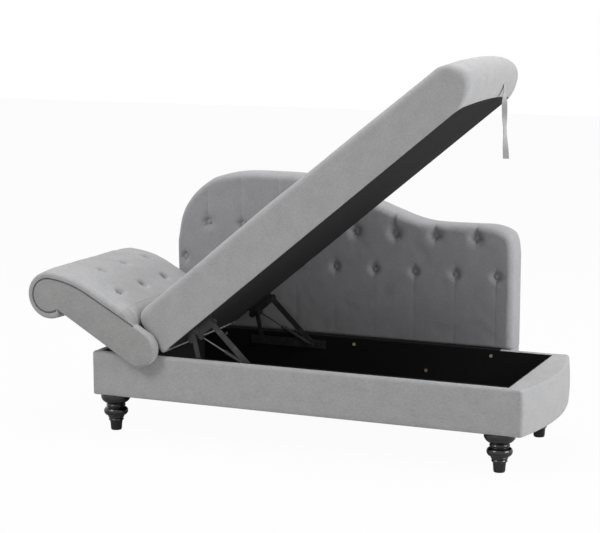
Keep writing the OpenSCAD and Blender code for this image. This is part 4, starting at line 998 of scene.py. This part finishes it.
def build_arm_border():
    """The cover's narrow edge over the front panel, from the pivot up to the cushion."""
    ys = [ARM_FRONT + d for d in EDGE_STEPS] + BORDER_COLUMNS
    rings = []
    for i in range(BORDER_ROWS + 1):
        share = BORDER_START_SHARE + (1 - BORDER_START_SHARE) * i / BORDER_ROWS
        s = toe_along(share)
        skin = [(y, max(ARM_HALF + SKIN_LEAST, toe_height(share, y) - TOE_TUCK * share)) for y in ys]
        ends = [(y, ARM_HALF + SKIN_BASE) for y in (ARM_FRONT, BORDER_Y)]
        rings.append([arm_point(s, y, n) for y, n in ends[:1] + skin + ends[1:]])
    border = loft("arm_cover_border", rings, PANEL_CLOTH_PAINTED_SHADE, "arm", 70, flip=True)
    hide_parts("arm_border_front")


# The front panel's round pivot end in degrees, and how far under the centre line the rear panel's
# straight end and lower edge lie
PIVOT_ARC = (262, 90)
REAR_END_LOW = -36.0
REAR_EDGE_LOW = (200.0, -46.0)
# Round the pivot, which shows, the front panel's edge is softer
PIVOT_SOFT = (-26.0, 50)


def panel_loop(inset, first):
    """A side panel's outline in the arm's own frame, round to the roll: the front one starts under the
    pivot, and the rear one at a distance from it."""
    if first is None:
        loop = arc(0, 0, ARM_HALF - inset, *PIVOT_ARC, 30)
        t = 8.0
    else:
        loop = [(first + inset, inset + REAR_END_LOW), (first + inset, ARM_HALF - inset)]
        t = first + 12.0
    while t < OUTLINE_LEN:
        loop.append(arm_at(t, -inset))
        t += PANEL_PITCH
    loop.append(arm_at(OUTLINE_LEN, -inset))
    loop.append((PANEL_STEP[0], PANEL_STEP[1] + inset))
    if first is not None:
        loop.append((REAR_EDGE_LOW[0], inset + REAR_EDGE_LOW[1]))
    return loop


def panel_piece(name, y_out, y_in, first, node):
    """A flat padded panel with a rounded outer edge; y_out is its face."""
    sign = 1 if y_in > y_out else -1
    flat, drawn = panel_loop(0.0, first), panel_loop(1.0, first)
    rings = [[arm_point(s, y_in, n) for s, n in flat]]
    for a in range(0, 91, 18):
        ring = []
        for (s, n), (si, ni) in zip(flat, drawn):
            r = PANEL_EDGE_R
            if first is None:
                r += (PIVOT_EDGE_R - PANEL_EDGE_R) * ramp(-s, *PIVOT_SOFT)
            inset = r * (1 - cosd(a))
            y = y_out + sign * r * (1 - sind(a))
            ring.append(arm_point(s + (si - s) * inset, y, n + (ni - n) * inset))
        rings.append(ring)
    panel = loft(name, rings, PANEL_CLOTH_PAINTED_SHADE, "arm", 60, flip=sign < 0)
    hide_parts(node)


# Where the back of each panel lies, and each piping's place across and where it starts
FRONT_PANEL_BACK = -5.2
REAR_PANEL_BACK = 559.5
PIPING_RUNS = (("arm_front_piping", ARM_FRONT + 0.6, 0.0), ("arm_rear_piping", ARM_REAR - 2.8, 126.0))
PIPING_START = 50.0
PIPING_PITCH = 6.0
PIPING_OUT = 0.6


def build_arm_panels():
    """Front and rear side panels with piping round their edges."""
    panel_piece("arm_front_face", ARM_FRONT, FRONT_PANEL_BACK, None, "arm_panel_front")
    panel_piece("arm_rear_face", ARM_REAR, REAR_PANEL_BACK, REAR_PANEL_START, "arm_panel_rear")
    path = []
    t = PIPING_START
    while t <= OUTLINE_LEN + 1:
        path.append(arm_at(min(t, OUTLINE_LEN), PIPING_OUT))
        t += PIPING_PITCH
    for name, y, start in PIPING_RUNS:
        run = [arm_point(s, y, n) for s, n in path if s >= start]
        grown(name, run, open_path(run), CORD, {"Cord Radius": PIPING_R * MM, "Step": 0.005}, PIPING,
              "arm")


# Backrest
# Along the backrest and up it, as shares of its length and rise
BACK_SHARES = [
    (0, 0.54), (0.0133, 0.7), (0.045, 0.825), (0.076, 0.895), (0.1136, 0.951), (0.152, 0.979),
    (0.2085, 0.997), (0.3, 1.0), (0.378, 0.996), (0.43, 0.98), (0.52, 0.915), (0.622, 0.832),
    (0.667, 0.795), (0.716, 0.759), (0.766, 0.739), (0.886, 0.737), (0.94, 0.735), (0.9835, 0.7),
    (0.9953, 0.65), (1, 0.57)]
BACK_WAVES = ((1.2, 90, 3), (0.8, 35, 8))
# Columns crowd towards both ends and rows towards the top edge
BACK_COLUMNS = 400
BACK_ROWS = 110
COLUMN_CROWD = 0.7
ROW_CROWD = 0.45
BACK_SIDE_STEPS = 40
# Rings round the backrest behind its face: place across, and how far out
BACK_SIDE_RINGS = ((640.0, 0.8), (656.0, 0.8), (666.0, 0.0), (BACK_Y2 - 1.5, -2.0), (BACK_Y2 - 0.5, -5.0))
BACK_HEART_SHARES = (0.45, 0.4)


def back_top(x):
    """Height of the backrest's top edge, on a smooth curve through its shares."""
    s = min(1.0, max(0.0, (x - BACK_X) / BACK_L))
    n = len(BACK_SHARES)
    k = max(i for i in range(n - 1) if BACK_SHARES[i][0] <= s + 1e-9)
    p0, p1 = BACK_SHARES[max(k - 1, 0)], BACK_SHARES[k]
    p2, p3 = BACK_SHARES[k + 1], BACK_SHARES[min(k + 2, n - 1)]
    h = p2[0] - p1[0]
    t = (s - p1[0]) / h
    chord = (p2[1] - p1[1]) / h
    m1 = chord if k == 0 else (p2[1] - p0[1]) / (p2[0] - p0[0])
    m2 = chord if k == n - 2 else (p3[1] - p1[1]) / (p3[0] - p1[0])
    rise = ((1 + 2 * t) * (1 - t) ** 2 * p1[1] + t * (1 - t) ** 2 * h * m1
            + t * t * (3 - 2 * t) * p2[1] - t * t * (1 - t) * h * m2)
    return RIM + BACK_RISE * rise


# How far the upper row's first button stands further out, and what share of it passes to the next
TUFT_SHIFT = 18
TUFT_SHIFT_SHARE = 0.45


def tuft_x(i):
    """Places of the buttons from the head end, even ones in the lower row and odd ones in the upper."""
    shift = 0.0 if i % 2 == 0 else TUFT_SHIFT * TUFT_SHIFT_SHARE ** ((i - 1) / 2)
    return TUFT_X + i * TUFT_PITCH / 2 + shift


LOW_TUFTS = [(tuft_x(2 * i), TUFT_LOW) for i in range(9)]
HIGH_TUFTS = [(tuft_x(2 * i + 1), TUFT_HIGH) for i in range(8)]
# Depth and reach of the dent round each button
LOW_DENT = (11, 17)
HIGH_DENT = (18, 22)
# Reach of a fold or pleat to its two sides, where it starts from its button and over what run, and how
# far a button acts along the backrest
FOLD_SIDES = (3.5, 3.5)
PLEAT_SIDES = (24, 2.5)
FAINT_SIDES = (10, 2)
PLEAT_IN = (6, 26)
FAINT_IN = (10, 40)
DENT_RUN = 110
PLEAT_RUN = 60


def back_columns():
    """Column places, closer together near both ends."""
    turns = [2 * math.pi * (i / BACK_COLUMNS) for i in range(BACK_COLUMNS + 1)]
    return [BACK_X + BACK_L * (a - COLUMN_CROWD * math.sin(a)) / (2 * math.pi) for a in turns]


def back_depth(x, z, border):
    """How far the backrest's face stands back at a point: rounded edge, tufts, folds and pleats."""
    d = edge_sink(border, BACK_EDGE_R) + edge_sink(z - BACK_LOW, BACK_FOOT_R)
    for k, (tx, tz) in enumerate(LOW_TUFTS + HIGH_TUFTS):
        side = x - tx
        if abs(side) < DENT_RUN and abs(z - tz) < DENT_RUN:
            depth, reach = LOW_DENT if tz == TUFT_LOW else HIGH_DENT
            d += depth * dimple(side, z - tz, reach, 4 + k % 3, 1.7 * k, BACK_CREASE_SHARE)
            # A short upright fold under and over each button
            d += BACK_FOLD * pleat(side, *FOLD_SIDES) * math.exp(-(max(0, abs(z - tz) - 8) / 20) ** 2)
    # Pleats from the upper buttons to the top edge, steep on one side, and faint ones under the lower row
    d += sum(BACK_PLEAT * ramp(z - tz, *PLEAT_IN) * pleat(x - tx, *PLEAT_SIDES)
             for tx, tz in HIGH_TUFTS if z > tz and abs(x - tx) <= PLEAT_RUN)
    d += sum(BACK_FAINT_PLEAT * ramp(tz - z, *FAINT_IN) * pleat(x - tx, *FAINT_SIDES)
             for tx, tz in LOW_TUFTS if z < tz and abs(x - tx) <= PLEAT_RUN)
    return d + ripples(x, z, 0, BACK_WAVES)


def distance_to(outline):
    """Gives the function that measures a point's distance to an open outline."""
    px, pz = np.array(outline).T
    ax, az, run_x, run_z = px[:-1], pz[:-1], np.diff(px), np.diff(pz)
    length = np.maximum(run_x ** 2 + run_z ** 2, 1e-9)

    def distance(x, z):
        t = np.clip(((x - ax) * run_x + (z - az) * run_z) / length, 0, 1)
        return float(np.sqrt(np.min((x - ax - t * run_x) ** 2 + (z - az - t * run_z) ** 2)))
    return distance


def build_backrest():
    """The backrest's upholstery: tufted face, rounded rim and sides wrapped round the board."""
    xs = back_columns()
    head, foot = back_top(xs[0]), back_top(xs[-1])
    steps = [i / BACK_SIDE_STEPS for i in range(BACK_SIDE_STEPS + 1)]
    border = distance_to([(BACK_X, BACK_LOW + (head - BACK_LOW) * t) for t in steps[:-1]]
                         + [(x, back_top(x)) for x in xs]
                         + [(BACK_X + BACK_L, foot - (foot - BACK_LOW) * t) for t in steps[1:]])
    points = []
    for x in xs:
        top = back_top(x)
        for j in range(BACK_ROWS + 1):
            v = j / BACK_ROWS
            v += ROW_CROWD * math.sin(math.pi * v) ** 2 * v * (1 - v)
            z = BACK_LOW + (top - BACK_LOW) * min(1.0, v)
            points.append((x, BACK_Y0 + min(BACK_PAD, max(0.0, back_depth(x, z, border(x, z)))), z))
    nx, nz = len(xs), BACK_ROWS + 1
    faces = [(i * nz + j, (i + 1) * nz + j, (i + 1) * nz + j + 1, i * nz + j + 1)
             for i in range(nx - 1) for j in range(nz - 1)]
    ring = ([i * nz for i in range(nx)] + [(nx - 1) * nz + j for j in range(1, nz)]
            + [i * nz + nz - 1 for i in range(nx - 2, -1, -1)] + list(range(nz - 2, 0, -1)))
    cx, cz = BACK_X + BACK_L * BACK_HEART_SHARES[0], RIM + BACK_RISE * BACK_HEART_SHARES[1]
    before = ring
    for y, out in BACK_SIDE_RINGS:
        layer = range(len(points), len(points) + len(ring))
        for k in ring:
            x, _, z = points[k]
            d = math.hypot(x - cx, z - cz)
            points.append((x + out * (x - cx) / d, y, z + (out * (z - cz) / d if z > RIM + 3 else 0)))
        faces += [(before[b], before[a], layer[a], layer[b]) for a, b in closed_path(ring)]
        before = layer
    faces.append(tuple(before))
    back = piece("backrest_tufted_cover", points, faces, BACK_CLOTH_PAINTED_SHADE, "base")
    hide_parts("back_cushion")


def build_back_buttons():
    """Covered buttons in the backrest's tufts."""
    tufts = LOW_TUFTS + HIGH_TUFTS
    points = [(x, BACK_Y0 + back_depth(x, z, BACK_EDGE_R) - BUTTON_LIFT, z) for x, z in tufts]
    buttons = set_buttons("backrest_covered_buttons", points, [(0.0, -1.0, 0.0)] * len(tufts), BUTTON_R,
                          0.6, BUTTON_CLOTH, "base")
    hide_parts("back_buttons")


BACK_REAR_IN = 3.0
BACK_SHEET_IN = 9.0
# Rings of the cloth behind the base: how far out, and height
BACK_FOOT_RINGS = ((-4.0, REAR_LOW), (0.0, REAR_LOW + 4), (0.0, RIM - 3), (-3.0, RIM + 1))
# How far in from the sheet's edge the stitches lie, along and up it, and where its two ends start
STITCH_IN = (4, 5)
SHEET_ENDS = (300, 1200)


def build_back_foot():
    """Cloth round the board's foot behind the base."""
    x0, x1 = BACK_X + BACK_REAR_IN, BACK_X + BACK_L - BACK_REAR_IN
    rings = []
    for grow, z in BACK_FOOT_RINGS:
        y0, y1 = BACK_FOOT_Y, BACK_Y2 - 1 + grow
        rings.append([(x0 - grow, y0, z), (x1 + grow, y0, z), (x1 + grow, y1, z), (x0 - grow, y1, z)])
    foot = loft("backrest_foot_cover", rings, BACK_CLOTH_PAINTED_SHADE, "base", 40)
    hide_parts("back_spacer_rail", "back_board")


def build_back_sheet():
    """Cloth stretched over the backrest's rear, with stitches round its edge."""
    x0, x1 = BACK_X + BACK_REAR_IN + BACK_SHEET_IN, BACK_X + BACK_L - BACK_REAR_IN - BACK_SHEET_IN
    low = REAR_LOW + 5
    xs = [x for x in back_columns() if x0 < x < x1]
    loop = [(xs[0], low), (xs[-1], low)] + [(x, back_top(x) - BACK_SHEET_IN - 3) for x in reversed(xs)]
    rings = [[(x, y, z) for x, z in loop] for y in (BACK_Y2 - 0.4, BACK_Y2 + 1.2)]
    cloth = loft("backrest_rear_sheet", rings, BACK_CLOTH_PAINTED_SHADE, "base", 40, flip=True)
    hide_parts("back_rear_cloth")
    run = [(x + STITCH_IN[0] * ((x < SHEET_ENDS[0]) - (x > SHEET_ENDS[1])), BACK_Y2 + 1.5,
            z - STITCH_IN[1] * (1 if z > RIM else -1)) for x, z in loop]
    grown("backrest_rear_stitches", run, closed_path(run), STITCHES,
          {"Pitch": 0.008, "Stitch Length": 0.0055, "Stitch Width": 0.0011}, THREAD, "base")


# Studio
FLOOR_REACH = 14.0
WHITE = (1, 1, 1, 1)
FLOOR_GREY = (0.6, 0.6, 0.6, 1)
FLOOR_GLOW_SHARE = 0.96
SKY_STRENGTH = 0.3
LAMP_AIM = Vector((0, 0, 0.5))
# Each lamp's place and size in metres, and its power in watts
LAMPS = (("side_lamp", (5.0, -0.3, 2.6), 2.6, 205.0), ("front_lamp", (-2.4, -3.8, 4.2), 1.8, 130.0),
         ("top_lamp", (-0.4, 0.5, 4.6), 2.6, 95.0))
CAMERA_PLACE = (2953.0, -5163.0, 1540.5)
CAMERA_DOWN = 9.31
CAMERA_TURN = 22.905
CAMERA_LENS = 106.05


def build_floor():
    """A pale floor that looks nearly white to the camera and still takes the object's shadow."""
    mesh = bpy.data.meshes.new("floor")
    r = FLOOR_REACH
    mesh.from_pydata([(-r, -r, 0), (r, -r, 0), (r, r, 0), (-r, r, 0)], [], [(0, 1, 2, 3)])
    pale = bpy.data.materials.new("pale_floor")
    pale.use_nodes = True
    tree = pale.node_tree
    shader = tree.nodes["Principled BSDF"]
    feed(tree, shader, {"Base Color": FLOOR_GREY, "Roughness": 0.9})
    seen = add_node(tree, "ShaderNodeLightPath", {}, output="Is Camera Ray")
    glow = add_node(tree, "ShaderNodeEmission", {"Color": WHITE, "Strength": 1.0})
    mix = add_node(tree, "ShaderNodeMixShader",
                   {0: math_node(tree, "MULTIPLY", seen, FLOOR_GLOW_SHARE), 1: shader.outputs[0], 2: glow})
    feed(tree, tree.nodes["Material Output"], {"Surface": mix})
    mesh.materials.append(pale)
    link("floor", mesh)


def build_sky():
    """A soft white surround that the camera and glossy surfaces see as plain white."""
    world = bpy.data.worlds.new("studio")
    bpy.context.scene.world = world
    world.use_nodes = True
    tree = world.node_tree
    soft = tree.nodes["Background"]
    feed(tree, soft, {"Color": WHITE, "Strength": SKY_STRENGTH})
    white = add_node(tree, "ShaderNodeBackground", {"Color": WHITE, "Strength": 1.0})
    seen = add_node(tree, "ShaderNodeLightPath", {}, output="Is Camera Ray")
    mirrored = add_node(tree, "ShaderNodeLightPath", {}, output="Is Glossy Ray")
    both = add_node(tree, "ShaderNodeMixShader",
                    {0: math_node(tree, "MAXIMUM", seen, mirrored), 1: soft.outputs[0], 2: white})
    feed(tree, tree.nodes["World Output"], {"Surface": both})


def build_studio():
    """Floor, surround, soft lamps and the camera."""
    build_floor()
    build_sky()
    for name, place, size, power in LAMPS:
        lamp = bpy.data.lights.new(name, "AREA")
        lamp.size = size
        lamp.energy = power
        obj = link(name, lamp)
        obj.location = place
        obj.rotation_euler = (LAMP_AIM - Vector(place)).to_track_quat("-Z", "Y").to_euler()
    view = bpy.data.cameras.new("photo_camera")
    view.sensor_width = 36.0
    view.lens = CAMERA_LENS
    camera = link("photo_camera", view)
    camera.location = at(*CAMERA_PLACE)
    camera.rotation_euler = (math.radians(90 - CAMERA_DOWN), 0.0, math.radians(CAMERA_TURN))
    bpy.context.scene.camera = camera
    bpy.context.scene.view_settings.view_transform = "Standard"


paint_nodes()
build_base_cover()
build_feet()
build_seat_cushion()
build_dust_sheet()
build_pull_strap()
build_arm_cushion()
build_arm_toe()
build_arm_border()
build_arm_panels()
build_arm_buttons()
build_backrest()
build_back_buttons()
build_back_foot()
build_back_sheet()
build_studio()
